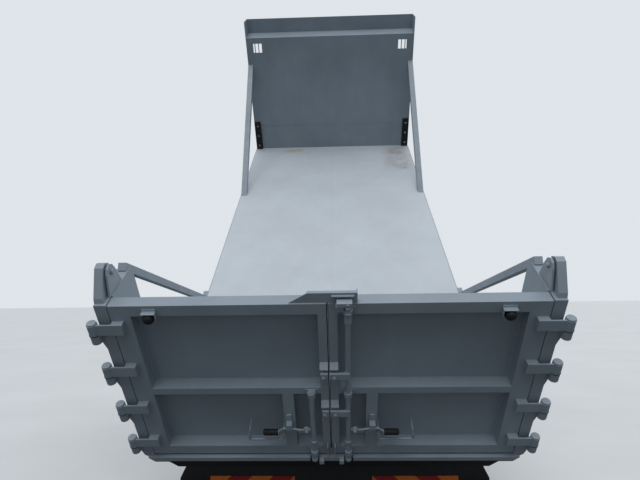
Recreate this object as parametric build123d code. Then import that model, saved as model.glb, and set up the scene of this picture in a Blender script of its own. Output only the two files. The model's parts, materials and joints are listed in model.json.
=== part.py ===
from build123d import *
import math
import os

os.makedirs("parts", exist_ok=True)

# A cab-over dump truck with its bed raised. Millimetres, +Y is the truck's
# front, +X its right side, Z is zero on the ground. The model is laid out from
# the middle of the rear axle and moved at the end, so that its origin is under
# the middle of the truck's outline.

# Running gear
wheelbase = 4100
tyre_radius = 402.5
tyre_width = 226
tyre_shoulder = 26
rim_radius = 222
front_wheel_x = 880
twin_inner_x = 700
twin_outer_x = 962
disc_plate = 12
disc_flat = 150
disc_slope = 65
hand_hole_place = 180
hand_hole_radius = 22
kingpin_x = 770
kingpin_radius = 17

# Chassis frame
rail_outer_x = 420
rail_flange = 65
rail_height = 200
rail_top = 760
rail_plate = 8
rail_rear_y = -985
rail_front_y = wheelbase + 920
subframe_height = 80
subframe_front_y = 3080

# Bed, measured from the outer face of its rear doors (F) and its floor (U)
bed_length = 4708
bed_half_width = 1030
bed_tilt = 38.4
floor_height = 1050
floor_plate = 4.5
moving_gap = 5
cross_bearer_height = 80
sill_height = 120
tilt_axis_y = -1050
tilt_axis_z = 800
tilt_axis_f = 470
tilt_pin_radius = 25
pin_clearance = 0.3

# Rear doors
door_height = 1096
door_depth = 68
door_sheet = 3.2
door_gap = 9
post_gap = 3
outer_stile = 98
centre_stile = 42
top_rail = 62
mid_rail_low = 496
mid_rail_high = 541
bottom_rail = 68
rib_width = 60
rib_centre_x = 221
post_width = 59
pillar_depth = 300
panel_depth = 335
hinge_axis_x = bed_half_width + 84
hinge_axis_f = -20
knuckle_radius = 25
hinge_pin_radius = 9
strap_start_x = bed_half_width - 64
strap_low_u = [106, 385, 668, 946]
strap_height = 62
strap_plate = 9
strap_raise = 25
lock_pipe_x = 95
lock_pipe_radius = 13
lock_pipe_f = -24
cross_arm_u = [408, 685]

# Cab
cab_half_width = 1050
cab_front_y = wheelbase + 1060
cab_back_y = wheelbase - 640
cab_bottom = 680
cab_floor_z = 990
cab_roof_z = 2370
cab_wall = 50
belt_z = 1500
cab_tilt_y = wheelbase + 960
cab_tilt_z = 680
cab_door_gap = 6

nodes = {}


def add(name, *shapes):
    """Keep solids under the name of the sub-part that they make up."""
    solids = []
    for shape in shapes:
        solids.extend(shape.solids())
    nodes.setdefault(name, []).extend(solids)


def block(x0, x1, y0, y1, z0, z1):
    """A box between two corners."""
    centre = Pos((x0 + x1) / 2, (y0 + y1) / 2, (z0 + z1) / 2)
    return centre * Box(abs(x1 - x0), abs(y1 - y0), abs(z1 - z0))


def both(shape):
    """A piece and its mirror image on the truck's other side."""
    return [shape, mirror(shape, about=Plane.YZ)]


def bar(start, end, radius, inner=0):
    """A round bar or tube between two points."""
    a, b = Vector(*start), Vector(*end)
    plane = Plane(origin=a, z_dir=(b - a).normalized())
    ring = Circle(radius) - Circle(inner) if inner else Circle(radius)
    return extrude(plane * ring, (b - a).length)


def across(x0, x1, y, z, radius, inner=0):
    """A round bar or tube along X."""
    return bar((x0, y, z), (x1, y, z), radius, inner)


def side_plate(points, x0, x1):
    """A flat plate cut to an outline in the side view, given as (y, z)."""
    outline = make_face(Polyline(*[(0, y, z) for y, z in points], close=True))
    return extrude(Pos(x0, 0, 0) * outline, x1 - x0, dir=(1, 0, 0))


def rear_plate(points, y0, y1):
    """A flat plate cut to an outline in the rear view, given as (x, z)."""
    outline = make_face(Polyline(*[(x, 0, z) for x, z in points], close=True))
    return extrude(Pos(0, y0, 0) * outline, y1 - y0, dir=(0, 1, 0))


def channel(x_web, x_open, y0, y1, z0, z1, wall):
    """A channel section lying along Y, its web at one side and open at the other."""
    inward = 1 if x_open > x_web else -1
    outer = block(x_web, x_open, y0, y1, z0, z1)
    hollow = block(x_web + inward * wall, x_open + inward, y0 - 1, y1 + 1, z0 + wall, z1 - wall)
    return outer - hollow


# Chassis frame: two channel rails, cross members and the subframe of the bed

rail = channel(rail_outer_x, rail_outer_x - rail_flange, rail_rear_y, rail_front_y,
               rail_top - rail_height, rail_top, rail_plate)
add("frame_rails", *both(rail))
rail_bottom = rail_top - rail_height
cross_inner = rail_outer_x - rail_plate
for y in (-660, 2520, wheelbase + 860):
    web = block(-cross_inner, cross_inner, y - 30, y - 30 + rail_plate,
                rail_top - rail_height + rail_plate, rail_top - rail_plate)
    flange = block(-cross_inner, cross_inner, y - 30 + rail_plate, y + 30,
                   rail_top - 2 * rail_plate, rail_top - rail_plate)
    low = flange.moved(Pos(0, 0, -rail_height + 3 * rail_plate))
    add("frame_rails", web + flange + low)
for y in (-420, 950, 1700):
    add("frame_rails", across(-cross_inner, cross_inner, y, rail_top - rail_height + 55, 42))

subframe_top = rail_top + subframe_height
lug_plate = 25
fork_gap = 6
runner = channel(rail_outer_x, rail_outer_x - rail_flange, tilt_axis_y + 130, subframe_front_y,
                 rail_top, subframe_top, rail_plate)
lug_shape = [(tilt_axis_y + 330, subframe_top), (tilt_axis_y + 330, rail_top - 90),
             (tilt_axis_y + 90, rail_top - 90), (tilt_axis_y - 40, tilt_axis_z - 28),
             (tilt_axis_y - 40, tilt_axis_z + 28), (tilt_axis_y - 20, subframe_top)]
outer_lug = side_plate(lug_shape, rail_outer_x, rail_outer_x + lug_plate)
inner_lug = side_plate(lug_shape, rail_outer_x - rail_flange - lug_plate, rail_outer_x - rail_flange)
tilt_pin = across(rail_outer_x - rail_flange - lug_plate - 12, rail_outer_x + lug_plate + 12,
                  tilt_axis_y, tilt_axis_z, tilt_pin_radius)
subframe_side = runner + outer_lug + inner_lug + tilt_pin
add("subframe", *both(subframe_side))
for y in (-700, 2600, 3000):
    add("subframe", block(-rail_outer_x + rail_flange, rail_outer_x - rail_flange,
                          y, y + 60, rail_top + 5, subframe_top - 5))
cab_bracket = side_plate([(rail_front_y - 130, rail_top), (rail_front_y - 130, rail_top - 130),
                          (cab_tilt_y, cab_tilt_z - 32), (cab_tilt_y + 26, cab_tilt_z - 18),
                          (cab_tilt_y + 26, cab_tilt_z + 18), (cab_tilt_y, cab_tilt_z + 32)],
                         rail_outer_x, rail_outer_x + 20)
cab_pin = across(rail_outer_x - 50, rail_outer_x + 30, cab_tilt_y, cab_tilt_z, 15)
add("frame_brackets", *both(cab_bracket + cab_pin))
latch_y = cab_back_y + 90
latch = block(-rail_outer_x, rail_outer_x, latch_y, latch_y + 60, 900, 939.7) \
    + block(rail_outer_x - rail_flange, rail_outer_x, latch_y, latch_y + 60, rail_top, 900) \
    + block(-rail_outer_x, -rail_outer_x + rail_flange, latch_y, latch_y + 60, rail_top, 900)
add("frame_brackets", latch)

# Axles, springs and steering

spring_x = rail_outer_x - rail_flange / 2
spring_width = 58
leaf_thickness = 9.5
eye_radius = 17
hanger_pin_radius = 9
axle_z = tyre_radius
front_beam_z = axle_z - 40


def leaf_spring(y, seat, span, leaves, rise):
    """A pack of curved leaves on a seat, the longest on top with an eye at each end."""
    pack = None
    for i in range(leaves):
        share = 1 - 0.13 * i
        half = span / 2 * share
        low = seat + leaf_thickness * (leaves - 1 - i)
        up = rise * share ** 2
        under = ThreePointArc((0, y - half, low + up), (0, y, low), (0, y + half, low + up))
        over = under.moved(Pos(0, 0, leaf_thickness))
        ends = [Line(under @ 0, over @ 0), Line(under @ 1, over @ 1)]
        leaf = extrude(make_face([under, over, *ends]), spring_width / 2, both=True, dir=(1, 0, 0))
        pack = leaf if pack is None else pack + leaf
    eye_z = seat + leaf_thickness * leaves + rise
    for end in (-1, 1):
        centre = (y + end * span / 2, eye_z)
        pack = pack + across(-spring_width / 2, spring_width / 2, *centre, eye_radius) \
            - across(-spring_width, spring_width, *centre, hanger_pin_radius)
    return pack


def spring_hanger(y, z):
    """A forked hanger under the right frame rail that holds a spring's eye on a pin."""
    x0, x1 = spring_x - spring_width / 2, spring_x + spring_width / 2
    low = z - eye_radius - 6
    cheek = block(x0 - 14, x0 - 2, y - 32, y + 32, low, rail_bottom)
    outer = block(rail_outer_x, rail_outer_x + 12, y - 45, y + 45, low, rail_top - 40)
    cap = block(x0 - 14, rail_outer_x + 12, y - 32, y + 32, rail_bottom - 6, rail_bottom)
    pin = across(x0 - 14, rail_outer_x + 12, y, z, hanger_pin_radius)
    return cheek + outer + cap + pin


front_beam = block(-690, 690, wheelbase - 40, wheelbase + 40, front_beam_z - 40, front_beam_z + 40)
groove = block(-640, 640, wheelbase + 14, wheelbase + 41, front_beam_z - 24, front_beam_z + 24)
front_beam = front_beam - groove - mirror(groove, about=Plane.XZ.offset(-wheelbase))
beam_end = Pos(kingpin_x, wheelbase, front_beam_z) * Cylinder(36, 90) \
    - Pos(kingpin_x, wheelbase, front_beam_z) * Cylinder(kingpin_radius + pin_clearance, 91)
beam_neck = block(680, kingpin_x - 30, wheelbase - 30, wheelbase + 30, front_beam_z - 36, front_beam_z + 36)
beam_side = beam_neck + beam_end
add("front_axle", front_beam + beam_side + mirror(beam_side, about=Plane.YZ))

rear_tube_radius = 62
rear_tube_end = 690
drum_radius = 195
back_plate_radius = 178
rear_drum_x = 606
rear_tube = across(-rear_tube_end, rear_tube_end, 0, axle_z, rear_tube_radius)
for x in (-rear_drum_x + moving_gap, rear_drum_x - moving_gap - 8):
    rear_tube = rear_tube + across(x, x + 8, 0, axle_z, back_plate_radius)
differential = Pos(0, 0, axle_z) * Sphere(185) - block(-200, 200, -260, -118, 150, 700)
carrier = bar((0, 90, axle_z), (0, 300, axle_z), 80)
add("rear_axle", rear_tube + differential + carrier)

# Springs: middle of the axle, top of its seat, length, leaves, rise of the ends
springs = [
    (wheelbase, front_beam_z + 40, 1250, 4, 70),
    (0, axle_z + 62, 1280, 6, 8),
]
for y, seat, span, leaves, rise in springs:
    spring = leaf_spring(y, seat, span, leaves, rise)
    eye_z = seat + leaf_thickness * leaves + rise
    for side in (-1, 1):
        add("leaf_springs", spring.moved(Pos(side * spring_x, 0, 0)))
    for end in (-1, 1):
        add("frame_brackets", *both(spring_hanger(y + end * span / 2, eye_z)))

stub_radius = 30
front_drum_x = kingpin_x + 76
steer_arm_x = kingpin_x - 30
steer_arm_half = 20
steer_arm_y = wheelbase - 250
fork_plate = 30
fork_reach = 47
steer_arm_z = front_beam_z - fork_reach - fork_plate


def knuckle():
    """The right steering knuckle: fork, kingpin, stub axle and steering arm."""
    fork_middle = fork_reach + fork_plate / 2
    back = block(kingpin_x + 42, kingpin_x + 66, wheelbase - 48, wheelbase + 48,
                 front_beam_z - fork_reach - fork_plate, front_beam_z + 100)
    stub = across(kingpin_x + 60, front_wheel_x + 70, wheelbase, axle_z, stub_radius)
    back_plate_x = front_drum_x - moving_gap
    back_plate = across(back_plate_x - 8, back_plate_x, wheelbase, axle_z, back_plate_radius)
    kingpin = Pos(kingpin_x, wheelbase, front_beam_z) * Cylinder(kingpin_radius, 150)
    body = back + stub + back_plate + kingpin
    for z in (front_beam_z - fork_middle, front_beam_z + fork_middle):
        body = body + Pos(kingpin_x, wheelbase, z) * Cylinder(38, fork_plate)
        body = body + block(kingpin_x, kingpin_x + 50, wheelbase - 30, wheelbase + 30,
                            z - fork_plate / 2, z + fork_plate / 2)
    arm = side_plate([(wheelbase + 20, steer_arm_z), (wheelbase + 20, steer_arm_z + 24),
                      (steer_arm_y, steer_arm_z + 24), (steer_arm_y, steer_arm_z)],
                     steer_arm_x - steer_arm_half, steer_arm_x + steer_arm_half)
    link = block(steer_arm_x - steer_arm_half, kingpin_x, wheelbase - 30, wheelbase + 20,
                 steer_arm_z, steer_arm_z + 24)
    eye = Pos(steer_arm_x, steer_arm_y, steer_arm_z + 12) * Cylinder(steer_arm_half, 24)
    return body + arm + link + eye


# The right arm carries the tie rod on its ball pin; the rod's left end is free under the left arm
ball_radius = 8
knuckle_form = knuckle()
ball_pin = Pos(steer_arm_x, steer_arm_y, steer_arm_z - 20) * Cylinder(ball_radius, 40)
add("right_knuckle", knuckle_form + ball_pin)
add("left_knuckle", mirror(knuckle_form, about=Plane.YZ))

tie_rod_z = steer_arm_z - 24
tie_rod = across(-steer_arm_x, steer_arm_x, steer_arm_y, tie_rod_z, 15)
eye_height = 38
left_eye_radius = 16
left_eye_x = -steer_arm_x + 6
tie_rod = tie_rod + Pos(steer_arm_x, steer_arm_y, tie_rod_z) * Cylinder(steer_arm_half, eye_height)
tie_rod = tie_rod + Pos(left_eye_x, steer_arm_y, tie_rod_z) * Cylinder(left_eye_radius, eye_height)
tie_rod = tie_rod - Pos(steer_arm_x, steer_arm_y, tie_rod_z) * Cylinder(ball_radius + pin_clearance, 60)
add("tie_rod", tie_rod)


# Wheels

def tyre(x):
    """A tyre with rounded shoulders around the rim seat, centred on X."""
    half = tyre_width / 2
    shoulder = tyre_shoulder
    outline = make_face([
        Line((x - 84, rim_radius), (x + 84, rim_radius)),
        Line((x + 84, rim_radius), (x + half, rim_radius + 60)),
        Line((x + half, rim_radius + 60), (x + half, tyre_radius - shoulder)),
        Line((x + half, tyre_radius - shoulder), (x + half - shoulder, tyre_radius)),
        Line((x + half - shoulder, tyre_radius), (x - half + shoulder, tyre_radius)),
        Line((x - half + shoulder, tyre_radius), (x - half, tyre_radius - shoulder)),
        Line((x - half, tyre_radius - shoulder), (x - half, rim_radius + 60)),
        Line((x - half, rim_radius + 60), (x - 84, rim_radius)),
    ])
    return revolve(outline, axis=Axis.X)


def rim(x, dish, hub_radius):
    """A disc wheel: barrel, sloping dish with hand holes, and a flat centre."""
    barrel = Pos(x, 0, 0) * Rot(0, 90, 0) * (Cylinder(rim_radius, 168) - Cylinder(rim_radius - 10, 169))
    outward = 1 if dish > 0 else -1
    face_x = x + dish
    root_x = face_x - outward * disc_slope
    back_x = face_x - outward * disc_plate
    corners = [(face_x, hub_radius), (face_x, disc_flat), (root_x, rim_radius - 5),
               (root_x - outward * disc_plate, rim_radius - 5), (back_x, disc_flat - 6),
               (back_x, hub_radius)]
    disc = revolve(make_face(Polyline(*corners, close=True)), axis=Axis.X)
    for i in range(8):
        hole = Rot(i * 45 + 22.5, 0, 0) * (Pos(face_x - outward * disc_slope / 2, 0, hand_hole_place)
                                           * Rot(0, 90, 0) * Cylinder(hand_hole_radius, disc_slope + 40))
        disc = disc - hole
    return barrel + disc


def hub(x0, x1, bore):
    """A wheel hub on its axle, with a cap at its outer end."""
    body = Pos((x0 + x1) / 2, 0, 0) * Rot(0, 90, 0) * Cylinder(70, x1 - x0)
    return body - Pos((x0 + x1) / 2, 0, 0) * Rot(0, 90, 0) * Cylinder(bore, x1 - x0 + 1)


def at_wheel(shape, y):
    """Move a wheel piece from the X axis to its place on an axle."""
    return shape.moved(Pos(0, y, axle_z))


front_tyre = at_wheel(tyre(front_wheel_x), wheelbase)
front_hub = hub(front_drum_x, front_wheel_x + 60, stub_radius + pin_clearance)
front_drum_web = front_wheel_x + 30
front_hub = front_hub + bar((front_drum_x, 0, 0), (front_drum_web, 0, 0), drum_radius, drum_radius - 12) \
    + bar((front_drum_web - 12, 0, 0), (front_drum_web, 0, 0), drum_radius, 60)
front_rim = at_wheel(rim(front_wheel_x, 60, 66), wheelbase)
front_drum = at_wheel(front_hub + (Pos(front_wheel_x + 73, 0, 0) * Rot(0, 90, 0) * Cylinder(70, 26)
                                   - Pos(front_wheel_x + 66, 0, 0) * Rot(0, 90, 0) * Cylinder(31, 14)),
                      wheelbase)
add("right_front_tyre", front_tyre)
add("left_front_tyre", mirror(front_tyre, about=Plane.YZ))
add("right_front_wheel", front_rim + front_drum)
add("left_front_wheel", mirror(front_rim + front_drum, about=Plane.YZ))

twin_tyres = [at_wheel(tyre(x), 0) for x in (twin_inner_x, twin_outer_x)]
twin_disc_x = (twin_inner_x + twin_outer_x) / 2
inner_rim = rim(twin_inner_x, twin_disc_x - twin_inner_x - 6, 60)
outer_rim = rim(twin_outer_x, twin_disc_x - twin_outer_x + 6, 60)
rear_hub = bar((rear_drum_x, 0, 0), (960, 0, 0), 110) + bar((rear_drum_x, 0, 0), (740, 0, 0), drum_radius) \
    - bar((rear_drum_x - 1, 0, 0), (rear_tube_end + pin_clearance, 0, 0), rear_tube_radius + pin_clearance)
twin_rims = at_wheel(inner_rim + outer_rim + rear_hub, 0)
for tyre_solid in twin_tyres:
    add("right_rear_tyres", tyre_solid)
    add("left_rear_tyres", mirror(tyre_solid, about=Plane.YZ))
add("right_rear_wheels", twin_rims)
add("left_rear_wheels", mirror(twin_rims, about=Plane.YZ))

# Engine, drive line and the tanks beside the frame

engine_back = wheelbase - 780
gearbox_back = engine_back - 700
shaft_z = 515
add("engine", block(-290, 290, engine_back, wheelbase + 240, 470, 880))
add("drive_line", bar((0, engine_back, shaft_z), (0, gearbox_back, shaft_z), 130)
    + bar((0, gearbox_back + 20, shaft_z), (0, 330, axle_z + 2), 40)
    + bar((0, 345, axle_z), (0, 300 + pin_clearance, axle_z), 55))
tank = fillet(block(rail_outer_x + 30, 960, 1750, 2650, 420, 800).edges().filter_by(Axis.Y), 60)
add("fuel_tank", tank)
battery = block(-940, -rail_outer_x - 30, 2250, 2800, 430, 780)
add("battery_box", fillet(battery.edges().filter_by(Axis.Z), 20))
air_tank_x = -620
for z in (520, 690):
    add("air_tanks", fillet(bar((air_tank_x, 1400, z), (air_tank_x, 2050, z), 78).edges(), 20))
add("exhaust", fillet(bar((air_tank_x, 3060, 560), (air_tank_x, 3560, 560), 120).edges(), 30)
    + bar((air_tank_x, 2960, 560), (air_tank_x, 3100, 560), 40))

# Brackets between the rails and what hangs beside them: reach in X, then Y, then Z
brackets = [
    (rail_outer_x, rail_outer_x + 30, 1880, 1940, 600, 700),
    (rail_outer_x, rail_outer_x + 30, 2460, 2520, 600, 700),
    (-rail_outer_x - 30, -rail_outer_x, 2340, 2400, 600, 700),
    (-rail_outer_x - 30, -rail_outer_x, 2650, 2710, 600, 700),
    (air_tank_x + 78, -rail_outer_x, 1500, 1540, 660, 720),
    (air_tank_x + 78, -rail_outer_x, 1900, 1940, 660, 720),
    (air_tank_x - 30, air_tank_x + 30, 1500, 1540, 598, 612),
    (air_tank_x - 30, air_tank_x + 30, 1900, 1940, 598, 612),
    (air_tank_x + 120, -rail_outer_x, 3140, 3180, 545, 575),
    (air_tank_x + 120, -rail_outer_x, 3370, 3410, 545, 575),
]
for y in (engine_back + 180, wheelbase + 60):
    add("frame_brackets", *both(block(290, cross_inner, y, y + 80, 610, 660)))
for row in brackets:
    add("frame_brackets", block(*row))

# Guards, bumpers, lamps and mudguards

guard_x0, guard_x1 = 990, 1020
for z in (430, 640):
    add("side_guards", *both(block(guard_x0, guard_x1, 700, 3250, z, z + 90)))
for y in (1150, 2860):
    guard_leg = block(guard_x0 - 30, guard_x0, y, y + 40, 430, 730)
    guard_arm = block(rail_outer_x, guard_x0 - 30, y, y + 40, 650, 690)
    add("side_guards", *both(guard_leg + guard_arm))

bumper_z0, bumper_z1 = 280, 480
rear_bumper_y = tilt_axis_y - 40
bumper_shape = [(-1025, bumper_z0), (1025, bumper_z0), (1025, bumper_z1 - 80), (985, bumper_z1),
                (-985, bumper_z1), (-1025, bumper_z1 - 80)]
rear_beam = rear_plate(bumper_shape, rear_bumper_y, rear_bumper_y + 60)
bumper_leg = block(rail_outer_x - rail_flange, rail_outer_x, rear_bumper_y + 60, rail_rear_y + 40,
                   bumper_z0 + 20, rail_bottom)
add("rear_bumper", rear_beam + bumper_leg + mirror(bumper_leg, about=Plane.YZ))
for x in (-821, 256):
    add("reflector_plates", block(x, x + 565, rear_bumper_y - 6, rear_bumper_y,
                                  bumper_z0 + 2, bumper_z0 + 134))
for x in (-1010, 850):
    add("lamps", block(x, x + 160, rear_bumper_y - 40, rear_bumper_y, bumper_z0 + 10, bumper_z0 + 100))

front_bumper_y = wheelbase + 1150
bumper_outer = block(-1060, 1060, wheelbase + 700, front_bumper_y, 330, 595)
bumper_outer = fillet(bumper_outer.edges().filter_by(Axis.Z), 90)
bumper_inner = block(-1010, 1010, wheelbase + 600, front_bumper_y - 50, 329, 596)
bumper_inner = fillet(bumper_inner.edges().filter_by(Axis.Z), 60)
front_bumper = bumper_outer - bumper_inner
for side in (-1, 1):
    lamp = block(side * 620, side * 900, front_bumper_y - 60, front_bumper_y + 12, 400, 540)
    front_bumper = front_bumper - lamp
    add("lamps", lamp)
bumper_bracket = block(rail_outer_x - rail_flange, rail_outer_x, rail_front_y - 60, front_bumper_y - 50,
                       440, rail_bottom)
add("front_bumper", front_bumper)
tow_hole_radius = 20
tow_plate = 25
front_tow_x = rail_outer_x - rail_flange / 2
front_tow_y, front_tow_z = front_bumper_y + 10, 292
front_tow = side_plate([(rail_front_y - 60, 440), (rail_front_y + 40, 440), (rail_front_y + 40, 325),
                        (front_tow_y + 34, 325), (front_tow_y + 34, 259), (rail_front_y - 30, 259)],
                       front_tow_x - tow_plate / 2, front_tow_x + tow_plate / 2)
front_tow = front_tow - across(300, 500, front_tow_y, front_tow_z, tow_hole_radius)
add("frame_brackets", *both(front_tow))
rear_tow_y, rear_tow_z = rear_bumper_y + 30, bumper_z0 - 34
rear_tow = block(-tow_plate / 2, tow_plate / 2, rear_bumper_y, rear_bumper_y + 60,
                 rear_tow_z - 34, bumper_z0)
rear_tow = rear_tow - across(-50, 50, rear_tow_y, rear_tow_z, tow_hole_radius)
add("frame_brackets", rear_tow)
tow_holes = [
    ("front_tow_eye_right", (front_tow_x, front_tow_y, front_tow_z), [1, 0, 0], tow_hole_radius, tow_plate),
    ("front_tow_eye_left", (-front_tow_x, front_tow_y, front_tow_z), [-1, 0, 0],
     tow_hole_radius, tow_plate),
    ("rear_tow_eye", (0, rear_tow_y, rear_tow_z), [1, 0, 0], tow_hole_radius, tow_plate),
]
add("frame_brackets", *both(bumper_bracket))


def arch(y, radius, x0, x1, start, end):
    """A curved mudguard of thin sheet over a wheel, from a start to an end angle."""
    ring = CenterArc((0, 0), radius, start, end - start)
    outer = CenterArc((0, 0), radius + 4, start, end - start)
    face = make_face([ring, outer, Line(ring @ 0, outer @ 0), Line(ring @ 1, outer @ 1)])
    placed = Plane(origin=(x0, y, axle_z), x_dir=(0, 1, 0), z_dir=(1, 0, 0)) * face
    return extrude(placed, x1 - x0, dir=(1, 0, 0))


front_guard_radius = tyre_radius + 90
rear_guard_radius = tyre_radius + 50
front_guard = arch(wheelbase, front_guard_radius, 640, 1030, 12, 168)
rear_guard_front = arch(0, rear_guard_radius, 590, 1075, 15, 75)
rear_guard_back = arch(0, rear_guard_radius, 590, 1075, 105, 165)
for piece in (front_guard, rear_guard_front, rear_guard_back):
    add("mudguards", *both(piece))
flap = block(590, 1075, -700, -694, 230, 660)
add("mudguards", *both(flap))

# Bars from the frame that carry the guards: wheel's Y, radius, angle, outer end in X
guard_bars = [
    (wheelbase, front_guard_radius + 4, 30, 1030),
    (wheelbase, front_guard_radius + 4, 150, 1030),
    (0, rear_guard_radius + 4, 30, 1075),
    (0, rear_guard_radius + 4, 62, 1075),
    (0, rear_guard_radius + 4, 118, 1075),
    (0, rear_guard_radius + 4, 150, 1075),
]
bar_radius = 12
for y, radius, angle, end in guard_bars:
    reach = radius + bar_radius
    across_y = y + reach * math.cos(math.radians(angle))
    across_z = axle_z + reach * math.sin(math.radians(angle))
    add("frame_brackets", *both(across(rail_outer_x, end, across_y, across_z, bar_radius)))
add("frame_brackets", *both(across(rail_outer_x, 1075, -697, 672, bar_radius)))

# Hoist under the bed: a barrel on the subframe and a rod to the bed

hoist_base = (200, 700)
hoist_eye_u = -160
barrel_length = 1500
barrel_radius = 85
rod_radius = 45
hoist_cheek = 25
hoist_fork = 46
floor_start = door_depth + moving_gap
bearer_width = 65
bearer_count = 12
bearer_pitch = (bed_length - floor_start - bearer_width - 5) / (bearer_count - 1)
hoist_bay = 8
hoist_eye_f = floor_start + (hoist_bay + 0.5) * bearer_pitch + bearer_width / 2
axis_u = tilt_axis_z - floor_height


def bed_point(f, u, tilt=bed_tilt):
    """Where a point of the bed lies in the side view, as (y, z), at an angle of the bed."""
    a = math.radians(tilt)
    df, du = f - tilt_axis_f, u - axis_u
    return (tilt_axis_y + df * math.cos(a) - du * math.sin(a),
            tilt_axis_z + df * math.sin(a) + du * math.cos(a))


def hoist_line(tilt):
    """The hoist's length and its angle from the level at an angle of the bed."""
    y, z = bed_point(hoist_eye_f, hoist_eye_u, tilt)
    run, rise = y - hoist_base[0], z - hoist_base[1]
    return math.hypot(run, rise), math.atan2(rise, run)


hoist_eye = bed_point(hoist_eye_f, hoist_eye_u)
hoist_length, hoist_angle = hoist_line(bed_tilt)


def on_hoist(distance):
    """A point on the hoist's line, at a distance from its base pin."""
    return (0, hoist_base[0] + math.cos(hoist_angle) * distance,
            hoist_base[1] + math.sin(hoist_angle) * distance)


barrel_eye = across(-40, 40, *hoist_base, 60)
barrel_body = bar(on_hoist(50), on_hoist(barrel_length), barrel_radius)
barrel_bore = bar(on_hoist(120), on_hoist(barrel_length + 1), rod_radius + pin_clearance)
barrel_tail = bar(on_hoist(0), on_hoist(60), 38)
hoist_pin_radius = 25
barrel = barrel_eye + barrel_tail + (barrel_body - across(-100, 100, *hoist_base, 72)) - barrel_bore
add("hoist_barrel", barrel - across(-100, 100, *hoist_base, hoist_pin_radius + pin_clearance))
rod_eye = across(-40, 40, *hoist_eye, 52)
add("hoist_rod", bar(on_hoist(barrel_length - 250), on_hoist(hoist_length - 20), rod_radius) + rod_eye)
hoist_pin = across(-cross_inner, cross_inner, *hoist_base, hoist_pin_radius)
hoist_stand = block(hoist_fork, hoist_fork + hoist_cheek, hoist_base[0] - 45, hoist_base[0] + 45,
                    hoist_base[1] - 45, hoist_base[1] + 45)
add("subframe", hoist_pin + hoist_stand + mirror(hoist_stand, about=Plane.YZ))

# Bed: floor, bearers, bulkhead, visor tray and stays, in bed coordinates


def place_bed(shape):
    """Move a piece from bed coordinates to its place on the raised bed."""
    lift = Location((0, tilt_axis_y, tilt_axis_z), (bed_tilt, 0, 0))
    return (lift * Pos(0, -tilt_axis_f, -axis_u)) * shape


def add_bed(name, *shapes):
    """Keep bed pieces under a name, in their raised place."""
    add(name, *[place_bed(shape) for shape in shapes])


add_bed("bed_floor", block(-bed_half_width, bed_half_width, floor_start, bed_length, -floor_plate, 0))
bearer_low = -floor_plate - cross_bearer_height
bearer_plate = 6
for i in range(bearer_count):
    f = floor_start + i * bearer_pitch
    bearer = block(-bed_half_width, bed_half_width, f, f + bearer_width, bearer_low, -floor_plate)
    hollow = block(-bed_half_width - 1, bed_half_width + 1, f + bearer_plate, f + bearer_width + 1,
                   bearer_low + bearer_plate, -floor_plate - bearer_plate)
    add_bed("bed_bearers", bearer - hollow)
bay_f0 = floor_start + hoist_bay * bearer_pitch + bearer_width
bay_f1 = floor_start + (hoist_bay + 1) * bearer_pitch
hoist_bracket = side_plate([(bay_f0, -floor_plate), (bay_f1, -floor_plate), (bay_f1, bearer_low),
                            (hoist_eye_f + 60, hoist_eye_u - 45), (hoist_eye_f - 60, hoist_eye_u - 45),
                            (bay_f0, bearer_low)], hoist_fork, hoist_fork + hoist_cheek)
add_bed("bed_bearers", *both(hoist_bracket))
sill_low = bearer_low - sill_height
for side in both(channel(rail_outer_x, rail_outer_x - rail_flange, floor_start, bed_length,
                         sill_low, bearer_low, rail_plate)):
    add_bed("bed_sills", side)
bed_lug = side_plate([(tilt_axis_f - 90, sill_low), (tilt_axis_f + 90, sill_low),
                      (tilt_axis_f + 46, axis_u - 20), (tilt_axis_f + 20, axis_u - 46),
                      (tilt_axis_f - 20, axis_u - 46), (tilt_axis_f - 46, axis_u - 20)],
                     rail_outer_x - rail_flange + fork_gap, rail_outer_x - fork_gap)
bed_lug = bed_lug - across(300, 500, tilt_axis_f, axis_u, tilt_pin_radius + pin_clearance)
add_bed("bed_sills", *both(bed_lug))

bulkhead_height = 1430
bulkhead_plate = 6
bulkhead_back = bed_length + bulkhead_plate
bulkhead = block(-bed_half_width, bed_half_width, bed_length, bulkhead_back, -100, bulkhead_height)
for side in (-1, 1):
    for i in (-1, 0, 1):
        x = side * 901 + i * 44
        bulkhead = bulkhead - block(x - 17, x + 17, bed_length - 1, bed_length + 20, 1262, 1368)
for x in (-1000, -350, 300, 950):
    bulkhead = bulkhead + block(x, x + 50, bulkhead_back, bed_length + 56, -100, bulkhead_height)
add_bed("bulkhead", bulkhead)
visor_depth = 225
visor_rise = 22
visor_height = 190
visor_plate = 4
shelf = side_plate([(bed_length, bulkhead_height), (bed_length + visor_depth, bulkhead_height + visor_rise),
                    (bed_length + visor_depth, bulkhead_height + visor_rise + visor_plate),
                    (bed_length, bulkhead_height + visor_plate)], -bed_half_width, bed_half_width)
visor_f1 = bed_length + visor_depth + visor_plate
upstand = block(-bed_half_width, bed_half_width, visor_f1 - visor_plate, visor_f1,
                bulkhead_height + visor_rise, bulkhead_height + visor_height)
end_plate = block(bed_half_width - visor_plate, bed_half_width, bed_length, visor_f1,
                  bulkhead_height + visor_plate, bulkhead_height + visor_height)
add_bed("visor", shelf + upstand + end_plate + mirror(end_plate, about=Plane.YZ))

stay_size = 60
rear_stay_size = 42


def stay(f0, u0, f1, u1, x0, size):
    """A square tube stay between two points of the bed's side view, its inner side at x0."""
    run = Vector(f1 - f0, u1 - u0).normalized()
    off = Vector(-run.Y, run.X) * (size / 2)
    corners = [(f0 + off.X, u0 + off.Y), (f1 + off.X, u1 + off.Y),
               (f1 - off.X, u1 - off.Y), (f0 - off.X, u0 - off.Y)]
    return side_plate(corners, x0, x0 + size)


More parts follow.
